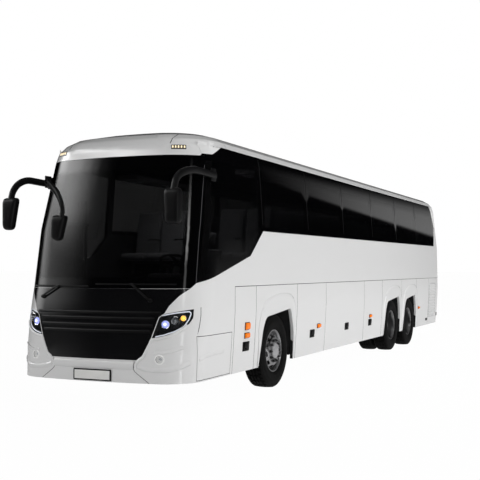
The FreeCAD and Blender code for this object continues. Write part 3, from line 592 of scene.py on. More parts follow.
slotOf = {"front_mask": "black_gloss", "windscreen": "screen_glass", "windows": "tinted_glass",
          "cab_windows": "tinted_glass", "headlights": "lamp_lens", "rear_lamps": "rear_lens",
          "front_door_leaf": "black_gloss", "middle_door_leaf": "black_gloss"}
hiddenOf = {"body_paint": "underbody", "lamp_lens": "lampBowl"}
for name in shellNames:
    slotName = slotOf.get(name, "body_paint")
    if slotName in hiddenOf:
        paintedSkin(name, slotName, hiddenOf[slotName])
    else:
        skin = smoothSkin(name, slotName)
        if name == "windows":
            evenPanes(skin)
print("skins smoothed")


def setWheel(form, way, centre):
    # wheels are made facing the driver's side
    bmesh.ops.scale(form, verts=form.verts, vec=(way, 1, 1))
    return moveForm(form, centre)


def faceTurn(face, steps):
    # a face's middle, its distance from the X axis, and its number counted round that axis
    spot = face.calc_center_median()
    return spot, math.hypot(spot.y, spot.z), int(round(math.atan2(spot.y, spot.z) / math.tau * steps - 0.5))


wheel = {"height": 0.522, "track": 1.08, "twin": 0.335, "tyreSteps": 120, "sipe": 0.0035, "sipeDepth": 0.009,
         "tread": 0.5165, "shoulder": 0.08, "discSteps": 60, "discThick": 0.009, "nuts": 10, "nutSize": 0.018,
         "hole": 3, "axles": (("front", -3.85), ("drive", 2.57), ("tag", 4.01))}
tyreProfile = [(-0.104, 0.290), (-0.118, 0.294), (-0.126, 0.304), (-0.134, 0.322), (-0.1365, 0.336), (-0.1405, 0.338),
               (-0.1445, 0.372), (-0.1475, 0.405), (-0.1475, 0.432), (-0.1455, 0.436), (-0.1435, 0.462),
               (-0.1385, 0.480), (-0.1395, 0.484), (-0.130, 0.501), (-0.122, 0.510), (-0.112, 0.5155),
               (-0.080, 0.519), (-0.078, 0.508), (-0.067, 0.508), (-0.065, 0.520), (-0.030, 0.5215),
               (-0.028, 0.509), (-0.017, 0.509), (-0.015, 0.522)]
tyreProfile = tyreProfile + [(-across, radius) for across, radius in reversed(tyreProfile)]
barrelProfile = [(-0.120, 0.283), (-0.122, 0.296), (-0.114, 0.302), (-0.108, 0.296), (-0.106, 0.286), (-0.060, 0.280),
                 (0.060, 0.280), (0.106, 0.286), (0.108, 0.296), (0.114, 0.302), (0.122, 0.298), (0.121, 0.285),
                 (0.108, 0.276), (0.060, 0.268), (-0.060, 0.268), (-0.108, 0.275)]
rimKinds = {
    "front": {"disc": [(0.055, 0.270), (0.066, 0.262), (0.082, 0.248), (0.101, 0.229), (0.117, 0.211),
                       (0.127, 0.199), (0.130, 0.190), (0.130, 0.150), (0.130, 0.113)],
              "holes": (0.205, 0.250), "flange": 0.130, "finish": "bright_rim", "hubFinish": "hubCap",
              "nutCircle": 0.1495,
              "hub": [(0.040, 0.113), (0.132, 0.113), (0.146, 0.110), (0.154, 0.104), (0.156, 0.098), (0.160, 0.094),
                      (0.164, 0.072), (0.1675, 0.066), (0.168, 0.03), (0.168, 0.0), (0.04, 0.0)]},
    "rear": {"disc": [(-0.060, 0.270), (-0.074, 0.262), (-0.094, 0.246), (-0.118, 0.226), (-0.138, 0.208),
                      (-0.149, 0.196), (-0.150, 0.186), (-0.150, 0.150), (-0.150, 0.113)],
             "holes": (0.202, 0.250), "flange": -0.150, "finish": "dark_rim", "hubFinish": "hubIron",
             "nutCircle": 0.1675,
             "hub": [(-0.15, 0.113), (-0.060, 0.112), (-0.024, 0.110), (-0.018, 0.104), (-0.018, 0.086),
                     (-0.006, 0.083), (0.032, 0.078), (0.0385, 0.072), (0.040, 0.03), (0.040, 0.0), (-0.15, 0.0)]},
}


def tyreForm(way, centre):
    # the turned tyre, with narrow cuts over its shoulders and its middle ribs
    form = lathe(tyreProfile, wheel["tyreSteps"], closed=True)
    bmesh.ops.recalc_face_normals(form, faces=form.faces)
    cuts = []
    for face in form.faces:
        spot, radius, turn = faceTurn(face, wheel["tyreSteps"])
        if radius > wheel["tread"] and face.calc_area() > 0.0002:
            cuts.append((abs(spot.x) <= wheel["shoulder"], turn, face))
    cuts = [face for inner, turn, face in cuts if not inner and turn % 3 == 0] + \
        [face for inner, turn, face in cuts if inner and turn % 4 == 1]
    bmesh.ops.inset_individual(form, faces=cuts, thickness=wheel["sipe"], depth=-wheel["sipeDepth"])
    return setWheel(form, way, centre)


def discForm(kind):
    # the pressed disc: some faces of the rows between the hand holes' edges are taken out
    steps = wheel["discSteps"]
    form = lathe(kind["disc"], steps)
    low, high = kind["holes"]
    turns = [(face, *faceTurn(face, steps)[1:]) for face in form.faces]
    gone = [face for face, radius, turn in turns
            if low < radius < high and turn % (steps // wheel["nuts"]) < wheel["hole"]]
    bmesh.ops.delete(form, geom=gone, context="FACES")
    bmesh.ops.recalc_face_normals(form, faces=form.faces)
    bmesh.ops.solidify(form, geom=form.faces, thickness=wheel["discThick"])
    return form


def nutForms(kind):
    # hexagon nuts on washers, each with the end of its stud
    parts, size = [], wheel["nutSize"]
    for step in range(wheel["nuts"]):
        for radius, low, high, sides in ((size * 1.35, 0.0, 0.004, 16), (size, 0.004, 0.024, 6),
                                         (size * 0.55, 0.024, 0.036, 12)):
            part = bmesh.new()
            bmesh.ops.create_cone(part, cap_ends=True, segments=sides, radius1=radius, radius2=radius * 0.94,
                                  depth=high - low)
            turnForm(part, math.pi / 2, "Y")
            moveForm(part, (kind["flange"] + 0.004 + (low + high) / 2, 0, kind["nutCircle"]))
            turnForm(part, (step + 0.5) * math.tau / wheel["nuts"], "X")
            parts.append(part)
    return joinForms(parts)


def makeWheel(axle, word, way, alongY):
    kind = rimKinds["front" if axle == "front" else "rear"]
    insets, many = ((0, wheel["twin"]), "s") if axle == "drive" else ((0,), "")
    body, name, rim = f"{axle}_{word}_wheel{many}", axle + word.capitalize(), kind["finish"]
    centres = [(way * (wheel["track"] - inset), alongY, wheel["height"]) for inset in insets]
    tyre = addForms([tyreForm(way, centre) for centre in centres], name + "Tyre", "rubber_tyre", "rubber_tyre",
                    body, 28)
    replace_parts(tyre, f"{axle}_{word}_tyre{many}")
    barrels = [setWheel(lathe(barrelProfile, 96, closed=True), way, centre) for centre in centres]
    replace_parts(addForms(barrels, name + "Barrel", rim, rim, body, 30), f"{axle}_{word}_rim")
    disc = addForm(setWheel(discForm(kind), way, centres[0]), name + "Disc", rim, rim, body, 40)
    rounding = disc.modifiers.new("rounding", "SUBSURF")
    rounding.levels = rounding.render_levels = 1
    addForm(setWheel(lathe(kind["hub"], 64), way, centres[0]), name + "Hub", kind["hubFinish"], rim, body, 32)
    addForm(setWheel(nutForms(kind), way, centres[0]), name + "Nuts", "nutSteel", "axle_iron", body, 30)


for axle, alongY in wheel["axles"]:
    for word, way in (("left", 1), ("right", -1)):
        makeWheel(axle, word, way, alongY)
print("wheels made")

arch = {"top": 1.10, "foot": 0.352, "flankY": -4.60, "pitch": 0.035, "radii": (0.13, 0.065, 0.06, 0.13),
        "spans": {"front": (-4.49, -3.15), "drive": (1.86, 3.19), "tag": (3.40, 4.64)}}


def archLine(start, end):
    # an arch's edge from its front foot over the top to its rear foot, as (along, height)
    top = arch["top"]
    corners = [Vector(corner) for corner in (
        (start + 0.010, 0.36), (start + 0.110, 0.90), (start + 0.215, top - 0.075), (end - 0.210, top + 0.010),
        (end - 0.060, 0.80), (end, 0.36))]
    line = corners[:1]
    for before, corner, after, radius in zip(corners, corners[1:], corners[2:], arch["radii"]):
        ends = [corner + (other - corner).normalized() * radius for other in (before, after)]
        line += arc(ends[0], corner, ends[1], 6)
    return evenly(line + corners[-1:], arch["pitch"])


def archFlare(axle, way):
    # the raised brow round a wheel arch, ending in a rolled lip
    inner = archLine(*arch["spans"][axle])
    rows, last = [], len(inner) - 1
    for index, (alongY, height) in enumerate(inner):
        run = (inner[min(index + 1, last)] - inner[max(index - 1, 0)]).normalized()
        away = Vector((-run.y, run.x))
        reach = 0.03 + 0.235 * max(0.0, math.sin(math.pi * min(1.0, index / last * 1.02))) ** 1.4
        row = []
        for outward, rise in ((-0.006, -0.040), (-0.007, -0.004), (-0.004, 0.006), (0.002, 0.011), (0.010, 0.0125),
                              (0.020, 0.0115), (0.030, 0.0095), (reach * 0.5 + 0.020, 0.0105),
                              (reach * 0.78 + 0.012, 0.0115), (reach * 0.88 + 0.006, 0.010),
                              (reach * 0.95 + 0.002, 0.005), (reach + 0.004, 0.0005), (reach + 0.006, -0.004)):
            spotZ = max(arch["foot"], height + away.y * outward)
            flankX = fromSide(1, arch["flankY"], spotZ)[0].x
            row.append((way * (flankX + rise), alongY + away.x * outward, spotZ))
        rows.append(row)
    return ringForm(rows)


def keep(groups, body, *forms):
    groups.setdefault(body, []).extend(forms)


def addGroups(groups, word, finish, slotName):
    # one piece per moving body
    for body, forms in groups.items():
        first, *rest = body.split("_")
        addForms(forms, first + "".join(part.capitalize() for part in rest) + word, finish, slotName, body)


for axle in arch["spans"]:
    addForms([archFlare(axle, way) for way in (1, -1)], axle + "Brows", "body_paint", "body_paint", "coach", 50)

# side lamps as (along, height, wide, tall), and flap locks
flank = {"markers": ((-4.92, 0.935, 0.125, 0.088), (-4.92, 0.812, 0.135, 0.062), (-2.08, 0.775, 0.135, 0.058),
                     (0.87, 0.790, 0.125, 0.052), (4.83, 0.790, 0.100, 0.045)),
         "locks": ((-4.93, 0.67), (-2.37, 0.67), (-0.59, 0.68), (0.86, 0.67)),
         "barrel": [(0.0, 0.0), (0.0, 0.014), (0.010, 0.014), (0.012, 0.012), (0.012, 0.004), (0.009, 0.0)]}
bases, lenses, plates, paddles = {}, {}, {}, {}
for way in (1, -1):
    for alongY, height, wide, tall in flank["markers"]:
        spot, out, body = fromSide(way, alongY, height)
        if "door_leaf" in body:
            continue
        keep(bases, body, boxOn((wide + 0.014, tall + 0.014, 0.008, 0.003), spot, out, sink=0.001))
        ribs = [boxOn((wide * 0.28, tall * 0.8, 0.006, 0.0025), spot + Vector((way * 0.024, wide * 0.29 * step, 0)),
                      out) for step in (-1, 0, 1)]
        keep(lenses, body, boxOn((wide, tall, 0.026, 0.012, 3), spot, out), *ribs)
    for alongY, height in flank["locks"]:
        spot, out, body = fromSide(way, alongY, height)
        if body == "coach" or "door_leaf" in body:
            continue
        keep(plates, body, boxOn((0.205, 0.125, 0.007, 0.003), spot, out, sink=0.001))
        paddle = moveForm(softBox(0.150, 0.060, 0.014, 0.005, 3), (0, 0.017, 0.004))
        barrel = moveForm(spun(flank["barrel"], 20), (0, -0.033, 0.003))
        keep(paddles, body, setOn(paddle, spot, out), setOn(barrel, spot, out))
addGroups(bases, "MarkerBases", "sealRubber", "black_plastic")
addGroups(lenses, "MarkerLenses", "amberLens", "black_plastic")
addGroups(plates, "LockPlates", "lockBlack", "black_plastic")
addGroups(paddles, "LockPaddles", "lockBlack", "black_plastic")

# louvres of the side grilles and of the engine door, as (look, low, high, start, end, blades)
louvre = {"deep": 0.010, "margin": 0.03, "brim": 0.025, "places": (
    (sideLook(1), 0.56, 1.31, 5.90, 6.52, 11), (sideLook(-1), 0.56, 1.31, 5.90, 6.52, 11),
    (fromRear, 1.12, 1.38, -0.78, 0.78, 5))}
frames, blades = {}, {}
for look, low, high, start, end, count in louvre["places"]:
    across = [start + (end - start) * part / 12 for part in range(13)]
    body = look(across[6], (low + high) / 2)[2]
    tall = (high - low) / count * 0.42
    outline = [(-tall, -0.002), (-tall, 0.002), (-tall * 0.2, louvre["deep"]), (tall * 0.25, louvre["deep"]),
               (tall, 0.001), (tall, -0.002)]
    for number in range(count):
        height = low + (high - low) * (number + 0.5) / count
        keep(blades, body, laid([look(value, height) for value in across], outline))
    corners = framed(start - louvre["margin"], end + louvre["margin"], low - louvre["brim"], high + louvre["brim"],
                     0.05)
    keep(frames, body, trimLine(corners, look, 0.014, 0.008, True))
addGroups(frames, "LouvreFrames", "grilleGrey", "body_paint")
addGroups(blades, "Louvres", "body_paint", "body_paint")
print("sides fitted")

# lamps behind the front covers: turned parts as (place, depth, piece, steps, outline)
lamps = {"projector": (0.924, 1.039), "ring": (1.027, 1.079), "amber": (1.099, 1.107), "fog": (0.88, 0.63),
         "fogTrim": 0.052,
         "strip": [(0.868, 1.137), (0.97, 1.160), (1.075, 1.178), (1.150, 1.185), (1.168, 1.165), (1.150, 1.085),
                   (1.112, 1.007), (1.03, 0.955), (0.92, 0.915), (0.820, 0.893)],
         "turned": (
             ("projector", 0.030, "lampReflectors", 40, [(-0.03, 0.0), (-0.03, 0.050), (0.010, 0.056), (0.016, 0.053),
                                                         (0.012, 0.046), (0.0, 0.043), (-0.01, 0.0)]),
             ("projector", 0.030, "lampProjectors", 40, [(-0.004, 0.0), (-0.004, 0.042), (0.008, 0.040),
                                                         (0.018, 0.030), (0.022, 0.020), (0.022, 0.0)]),
             ("projector", 0.030, "lampCores", 32, [(0.020, 0.0), (0.020, 0.019), (0.026, 0.014), (0.028, 0.0)]),
             ("ring", 0.026, "lampReflectors", 40, [(-0.03, 0.0), (-0.034, 0.012), (-0.026, 0.030), (-0.004, 0.043),
                                                    (0.006, 0.047), (0.004, 0.052), (-0.006, 0.053),
                                                    (-0.04, 0.045), (-0.045, 0.0)]),
             ("ring", 0.026, "lampBulbs", 24, [(-0.030, 0.0), (-0.030, 0.012), (-0.012, 0.011), (-0.006, 0.006),
                                               (-0.004, 0.0)]),
             ("amber", 0.030, "lampReflectors", 32, [(-0.02, 0.0), (-0.020, 0.014), (0.004, 0.032), (0.002, 0.036),
                                                     (-0.012, 0.034), (-0.03, 0.0)]),
             ("amber", 0.030, "lampAmbers", 24, [(-0.018, 0.0), (-0.018, 0.013), (0.000, 0.012), (0.007, 0.007),
                                                 (0.009, 0.0)]),
             ("fog", 0.030, "fogReflectors", 36, [(-0.02, 0.0), (-0.018, 0.022), (0.014, 0.043), (0.016, 0.047),
                                                  (0.010, 0.048), (-0.03, 0.030), (-0.03, 0.0)]),
             ("fog", 0.030, "lampBulbs", 24, [(-0.012, 0.0), (-0.012, 0.014), (0.002, 0.013), (0.008, 0.007),
                                              (0.010, 0.0)])),
         "finishes": {"lampTrims": "smokedTrim", "lampGlows": "whiteLight", "lampReflectors": "chrome",
                      "lampAmbers": "amberGlow", "lampBulbs": "clearLens", "lampProjectors": "blueLens",
                      "lampCores": "hotWhite", "fogReflectors": "fogWhite"}}
lampForms = {word: [] for word in lamps["finishes"]}
for way in (1, -1):
    for place, behind, word, steps, outline in lamps["turned"]:
        across, height = lamps[place]
        spot, out, _ = fromFront(way * across, height)
        facing = (out + Vector((0, -1.2, 0))).normalized()
        lampForms[word].append(turnedOn(outline, steps, spot - facing * behind, facing))
    # each fog lamp's rim ring takes the same faintly glowing finish: painted light
    trim = [fromFront(way * lamps["fog"][0] + math.cos(turn * math.tau / 36) * lamps["fogTrim"],
                      lamps["fog"][1] + math.sin(turn * math.tau / 36) * lamps["fogTrim"]) for turn in range(36)]
    lampForms["fogReflectors"].append(laid(trim, bead(0.008, 0.006), True))
    strip = [fromFront(way * across, height) for across, height in evenly(lamps["strip"], 0.02)]
    lampForms["lampGlows"].append(laid(strip, [(-0.007, -0.006), (-0.007, 0.002), (0, 0.005), (0.007, 0.002),
                                               (0.007, -0.006)], lift=-0.012))
    lampForms["lampTrims"].append(laid(strip, [(-0.014, -0.008), (-0.014, 0.004), (0.014, 0.004), (0.014, -0.008)],
                                       lift=-0.019))
for word, finish in lamps["finishes"].items():
    addForms(lampForms[word], word, finish, "lamp_lens")


def onMask(across, height):
    return shellOwner[shell.ray_cast(Vector((across, -9, height)), rearward)[2]] == "front_mask"


# the mask's slats, the blank plates and the marker lamps of the cap
mask = {"slats": (1.17, 1.10, 1.02, 0.95), "limit": 1.2, "margin": 0.035,
        "blade": [(-0.020, -0.002), (-0.016, 0.002), (-0.005, 0.006), (0.007, 0.006), (0.016, 0.002),
                  (0.020, -0.002)]}
slats = []
for height in mask["slats"]:
    reach = 0.0
    while reach < mask["limit"] and onMask(reach + 0.01, height):
        reach += 0.01
    slats.append(laid([fromFront((reach - mask["margin"]) * part / 14, height) for part in range(-14, 15)],
                      mask["blade"]))
addForms(slats, "maskSlats", "slatBlack", "black_gloss", "coach", 30)

for word, look, height in (("front", fromFront, 0.425), ("rear", fromRear, 0.66)):
    spot, out, body = look(0.005, height)
    rim = bar([(x, y, 0.0) for x, y in framed(-0.258, 0.258, -0.062, 0.062, 0.012, 3)], upward, bead(0.006, 0.005),
              True)
    addForms([boxOn((0.53, 0.138, 0.012, 0.005), spot, out, sink=0.003), setOn(rim, spot + out * 0.009, out)],
             word + "PlateFrame", "black_plastic", "black_plastic", body)
    addForm(boxOn((0.496, 0.106, 0.0035, 0.001), spot + out * 0.0095, out), word + "Plate", "plateWhite",
            "black_plastic", body)

capLamps = {"first": 0.790, "pitch": 0.031, "count": 5, "height": 3.185}
met = [fromFront(way * (capLamps["first"] + step * capLamps["pitch"]), capLamps["height"])
       for way in (1, -1) for step in range(capLamps["count"])]
addForms([boxOn((0.040, 0.058, 0.007, 0.003), spot, out, sink=0.001) for spot, out, _ in met], "capLampBases",
         "smokedTrim", "black_plastic")
addForms([boxOn((0.019, 0.032, 0.013, 0.005, 3), spot, out) for spot, out, _ in met], "capLampLenses", "capLight",
         "lamp_lens")

# seams of the front's panels: of the cap, of the bumper, and of the quarter seen from the side
seam = {"cap": [(0.745, 3.235), (0.740, 3.290), (0.735, 3.372)],
        "bumper": [(0.578, 0.606), (0.556, 0.502), (0.600, 0.462), (0.756, 0.352)],
        "quarter": [(-6.188, 1.230), (-6.200, 1.120), (-6.226, 1.000), (-6.262, 0.888)], "pitch": 0.03}
seamLines = []
for way in (1, -1):
    capSeam, bumperSeam = [[(way * across, height) for across, height in seam[word]] for word in ("cap", "bumper")]
    seamLines += [trimLine(capSeam, fromFront, 0.0045, 0.0025),
                  trimLine(bumperSeam, fromFront, 0.003, 0.0018, pitch=seam["pitch"]),
                  trimLine(seam["quarter"], sideLook(way), 0.003, 0.0040, pitch=seam["pitch"])]
addForms(seamLines, "frontSeams", "seamShade", "body_paint")
print("front fitted")

# wipers: spindle, arm, and a jointed blade that keeps to the glass
wiper = {"both": (((-0.800, 1.345), -1.000, -0.090, 1.478, -0.55), ((0.740, 1.312), 0.010, 1.010, 1.503, 0.50)),
         "rubber": [(-0.0015, 0), (-0.004, 0.008), (-0.006, 0.012), (0.006, 0.012), (0.004, 0.008), (0.0015, 0)],
         "spine": [(-0.010, 0), (-0.009, 0.004), (-0.004, 0.009), (0.004, 0.009), (0.009, 0.004), (0.010, 0)],
         "arm": [(-0.012, -0.004), (-0.013, 0.002), (-0.006, 0.007), (0.006, 0.007), (0.013, 0.002),
                 (0.012, -0.004)],
         "spindle": [(-0.004, 0.0), (-0.004, 0.026), (0.020, 0.024), (0.030, 0.018), (0.036, 0.016), (0.038, 0.0)]}
arms, rubbers = [], []
for (pivotX, pivotZ), start, end, height, jointX in wiper["both"]:
    met = [fromFront(start + (end - start) * part / 20, height) for part in range(21)]
    rubbers.append(laid(met, wiper["rubber"], lift=0.002))
    arms.append(laid(met, wiper["spine"], lift=0.013))
    pivot, out, _ = fromFront(pivotX, pivotZ)
    arms.append(turnedOn(wiper["spindle"], 24, pivot, out))
    joint, jointOut, _ = fromFront(jointX, height)
    path = evenly([pivot + out * 0.026, pivot.lerp(joint, 0.25) + out * 0.036, pivot.lerp(joint, 0.7) + out * 0.036,
                   joint + jointOut * 0.027], 0.02)
    arms.append(bar(path, out, wiper["arm"]))
    arms.append(boxOn((0.05, 0.026, 0.014, 0.005), joint + jointOut * 0.018, jointOut))
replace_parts(addForms(arms, "wiperArms", "black_plastic", "black_plastic"), "wipers")
addForms(rubbers, "wiperRubbers", "sealRubber", "black_plastic")

# mirrors: slotted arms as (path, the way across), and rounded heads as (outline, place along)
mirror = {
    "arms": (([(1.195, -5.740, 2.850), (1.213, -5.950, 2.850), (1.225, -6.200, 2.855), (1.262, -6.480, 2.842),
               (1.288, -6.740, 2.795), (1.290, -6.910, 2.715), (1.287, -6.985, 2.560)], (1, 0, 0)),
             ([(-1.175, -5.790, 2.830), (-1.208, -6.000, 2.825), (-1.225, -6.150, 2.832), (-1.250, -6.300, 2.834),
               (-1.263, -6.450, 2.780), (-1.272, -6.550, 2.680), (-1.270, -6.600, 2.560)], (1, 0, 0)),
             ([(-1.150, -5.890, 2.840), (-1.080, -6.080, 2.820), (-0.830, -6.340, 2.738), (-0.590, -6.550, 2.622),
               (-0.480, -6.625, 2.498), (-0.455, -6.630, 2.400), (-0.480, -6.630, 2.300)], (0.74, 0.67, 0))),
    "heads": (([(1.180, 2.590), (1.385, 2.590), (1.377, 2.190), (1.200, 2.190)], -7.000),
              ([(-1.385, 2.590), (-1.160, 2.590), (-1.235, 2.180), (-1.381, 2.180)], -6.600),
              ([(-0.605, 2.350), (-0.396, 2.345), (-0.480, 2.030), (-0.608, 2.042)], -6.630)),
    "shell": ((0.35, -0.050), (0.70, -0.047), (0.86, -0.038), (0.96, -0.020), (1.0, 0.005), (1.0, 0.035),
              (0.985, 0.046), (0.955, 0.049), (0.93, 0.047), (0.925, 0.034)),
    "glass": ((0.915, 0.030), (0.915, 0.038)),
    "slotted": [(-0.026, -0.022), (-0.026, 0.022), (-0.020, 0.038), (-0.008, 0.044), (0.008, 0.044),
                (0.020, 0.038), (0.026, 0.022), (0.026, 0.012), (0.018, 0.008), (0.018, -0.008), (0.026, -0.012),
                (0.026, -0.022), (0.020, -0.038), (0.008, -0.044), (-0.008, -0.044), (-0.020, -0.038)]}


def headForm(outline, alongY, rows):
    # rings of the rounded outline, each as (its share of the full size, its depth)
    centre = Vector((sum(x for x, _ in outline) / 4, sum(z for _, z in outline) / 4))
    edge = rounded(outline, 0.055, 6)
    return ringForm([[(centre.x + (x - centre.x) * share, alongY + depth, centre.y + (z - centre.y) * share)
                      for x, z in edge] for share, depth in rows])


housings = []
for path, across in mirror["arms"]:
    line = curved(path)
    ways = [line[min(index + 1, len(line) - 1)] - line[max(index - 1, 0)] for index in range(len(line))]
    housings.append(sweep(line, [Vector(across).cross(way.normalized()) * -1 for way in ways], mirror["slotted"]))
    housings.append(boxOn((0.13, 0.16, 0.018, 0.007, 3), Vector(path[0]) + Vector((0, -0.08, 0)),
                          (math.copysign(1, path[0][0]), 0, 0), sink=-0.004))
housings += [headForm(*head, mirror["shell"]) for head in mirror["heads"]]
glasses = [headForm(*head, mirror["glass"]) for head in mirror["heads"]]
housing = addForms(housings, "mirrorHousings", "black_plastic", "black_plastic", "coach", 40)
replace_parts(housing, "mirrors")
glass = addForms(glasses, "mirrorGlasses", "mirrorGlass", "black_plastic")
housing.visible_glossy = glass.visible_glossy = False
print("mirrors and wipers fitted")


def maskReach(height):
    reach = 0.3
    while onMask(reach, height):
        reach += 0.004
    return reach


def bridged(way, alongY, heights):
    # spots up the side, with straight runs over the joints that a ray falls through
    met = [shell.ray_cast(Vector((way * 3, alongY, height)), Vector((-way, 0, 0)))[0] for height in heights]
    reach = [abs(spot.x) if spot else 0.0 for spot in met]
    firm = [index for index, across in enumerate(reach) if across > max(reach) - 0.06]
    spots = []
    for index, height in enumerate(heights):
        low = max([other for other in firm if other <= index] or firm[:1])
        high = min([other for other in firm if other >= index] or firm[-1:])
        share = 0.0 if low == high else (index - low) / (high - low)
        spots.append(Vector((way * (reach[low] + (reach[high] - reach[low]) * share), alongY, height)))
    return spots


def patchForm(columns):
    # a thin patch from columns of (outer, inner) spots, closed round its edges
    form = bmesh.new()
    columns = [[[form.verts.new(spot) for spot in pair] for pair in column] for column in columns]
    last = len(columns[0]) - 1
    for one, two in zip(columns, columns[1:]):
        for row in range(last):
            for layer in (0, 1):
                form.faces.new((one[row][layer], one[row + 1][layer], two[row + 1][layer], two[row][layer]))
        for row in (0, last):
            form.faces.new((one[row][0], one[row][1], two[row][1], two[row][0]))
    for column in (columns[0], columns[-1]):
        for one, two in zip(column, column[1:]):
            form.faces.new((one[0], two[0], two[1], one[1]))
    return form


# painted corners over the lamp's tail and over the head of the side glass
lampPatch = {"steps": 13, "lowRun": (-6.302, 0.422), "highRun": (-6.276, 0.396), "level": 1.18,
             "foot": (1.086, 1.561, 1.178), "top": (1.173, 0.1965, 0.919), "shares": (0, 0.25, 0.5, 0.75, 1),
             "proud": 0.0015, "sunk": 0.003}
capPatch = {"steps": 29, "run": (-5.895, 0.417), "foot": (3.112, 0.52, -5.752), "top": 3.270, "rows": 10,
            "half": 0.004, "facing": (-0.25, 0.25)}


def lampCorner(way):
    columns = []
    for step in range(lampPatch["steps"] + 1):
        low, high = (start + run * step / lampPatch["steps"]
                     for start, run in (lampPatch["lowRun"], lampPatch["highRun"]))
        across = abs(fromSide(way, (low + high) / 2, lampPatch["level"])[0].x)
        level, rise, start = lampPatch["foot"]
        foot = level + rise * max(0.0, across - start)
        level, rise, start = lampPatch["top"]
        top = level + rise * (across - start)
        met = [fromSide(way, low + (high - low) * share, foot + (top - foot) * share)
               for share in lampPatch["shares"]]
        columns.append([(spot + out * lampPatch["proud"], spot - out * lampPatch["sunk"]) for spot, out, _ in met])
    return patchForm(columns)


def capCorner(way):
    half, columns = Vector((way, *capPatch["facing"])).normalized() * capPatch["half"], []
    (front, run), (level, rise, start) = capPatch["run"], capPatch["foot"]
    for step in range(capPatch["steps"] + 1):
        alongY = front + run * step / capPatch["steps"]
        low = level + max(0.0, alongY - start) * rise
        heights = [low + (capPatch["top"] - low) * row / capPatch["rows"] for row in range(capPatch["rows"] + 1)]
        columns.append([(spot + half, spot - half) for spot in bridged(way, alongY, heights)])
    return patchForm(columns)


# the bumper's bright bar, the lips beside the mask, soft ridges and seams; points are (across, height)
bumper = {
    "bar": [(-0.052, -0.002), (-0.050, 0.008), (-0.040, 0.018), (-0.020, 0.023), (0.010, 0.021), (0.034, 0.013),
            (0.048, 0.004), (0.052, -0.002)],
    "lipFoot": [(0.585, 0.520), (0.588, 0.575)],
    "lipHead": [(0.800, 0.862), (0.880, 0.874), (0.966, 0.898), (1.034, 0.931), (1.098, 0.975), (1.140, 1.022)],
    "ridges": (([(0.610, 0.540), (0.690, 0.510), (0.800, 0.497), (0.979, 0.496), (1.100, 0.530), (1.172, 0.573)],
                [(-0.050, -0.003), (-0.036, 0.003), (-0.016, 0.010), (0.0, 0.013), (0.010, 0.010), (0.018, 0.003),
                 (0.022, -0.003)]),
               ([(0.820, 0.700), (0.911, 0.696), (0.980, 0.712), (1.053, 0.731), (1.120, 0.757)],
                [(-0.036, -0.002), (-0.022, 0.005), (-0.008, 0.012), (0.004, 0.012), (0.009, 0.003),
                 (0.010, -0.002)])),
    "hatch": [(-0.030, -0.003), (-0.024, 0.001), (-0.012, 0.0045), (0.0, 0.005), (0.014, 0.003), (0.028, -0.003)]}
pillarLine = [(-5.892, 2.967), (-6.012, 2.526), (-6.111, 2.156), (-6.172, 1.795), (-6.217, 1.52)]
ports = ((5.69, 0.481, 0.17, 0.06), (6.79, 0.560, 0.10, 0.085))
shapes, corners, pillarLines, tailPorts = [], [], [], {}
shapes.append(ridge([(-0.560, 0.552), (0.560, 0.552)], fromFront, bumper["bar"]))
for way in (1, -1):
    lip = bumper["lipFoot"] + [(maskReach(height) + 0.016, height)
                               for height in (0.625 + 0.024 * step for step in range(11))] + bumper["lipHead"]
    for points, outline, pitch in ((lip, bead(0.018, 0.013), 0.02), *((*both, 0.04) for both in bumper["ridges"])):
        shapes.append(ridge([(way * across, height) for across, height in points], fromFront, outline, pitch))
    corners += [lampCorner(way), capCorner(way)]
    pillarLines.append(trimLine(pillarLine, sideLook(way), 0.005, 0.0015))
    for alongY, height, wide, tall in ports:
        spot, out, body = fromSide(way, alongY, height)
        keep(tailPorts, body, boxOn((wide, tall, 0.008, 0.004), spot, out, sink=0.001))
addGroups(tailPorts, "TailPorts", "seamShade", "body_paint")
addForms(pillarLines, "pillarSeams", "pillarSeam", "tinted_glass")
addForms(shapes, "bumperShapes", "body_paint", "body_paint", "coach", 60)
addForms(corners, "lampCorners", "body_paint", "body_paint", "coach", 50)
addForm(ridge([(-6.225, 0.605), (-6.117, 0.636), (-5.90, 0.652), (-5.60, 0.660)], sideLook(1), bumper["hatch"]),
        "hatchRidge", "body_paint", "body_paint", "driver_side_hatch", 60)

# the tail: lamps, reflectors, handle and exhaust
tail = {"lamps": ((1.285, "tailReds", "rear_lens"), (1.120, "tailAmbers", "amberLens"),
                  (0.955, "tailWhites", "clearLens")),
        "lampX": 1.078, "size": 0.068, "reflector": (0.92, 0.52), "pipe": Vector((-0.62, 5.95, 0.62)),
        "straps": (5.70, 6.20), "strapRadius": 0.157, "strapSides": 40, "grip": (7.045, 7.075, 0.875),
        "tip": [(-0.62, 6.45, 0.52), (-0.62, 6.70, 0.42), (-0.62, 6.93, 0.39)], "tipRadius": 0.045,
        "silencer": [(-0.46, 0.0), (-0.46, 0.13), (-0.43, 0.155), (0.43, 0.155), (0.46, 0.13), (0.46, 0.0)]}
size = tail["size"]
lens = [(-0.002, size), (0.006, size * 0.97), (0.011, size * 0.8), (0.014, size * 0.4), (0.015, 0.0)]
rim = [(-0.002, size + 0.012), (0.007, size + 0.010), (0.009, size + 0.004), (0.004, size - 0.001),
       (-0.002, size - 0.001)]
rims = []
for height, word, finish in tail["lamps"]:
    met = [fromRear(way * tail["lampX"], height) for way in (1, -1)]
    forms = [turnedOn(lens, 36, spot, out) for spot, out, _ in met]
    rims += [turnedOn(rim, 36, spot, out) for spot, out, _ in met]
    if word == "tailReds":
        across, level = tail["reflector"]
        forms += [boxOn((0.15, 0.045, 0.012, 0.005, 3), *fromRear(way * across, level)[:2]) for way in (1, -1)]
    addForms(forms, word, finish, "rear_lens")
addForms(rims, "tailRims", "chrome", "rear_lens")
near, far, height = tail["grip"]
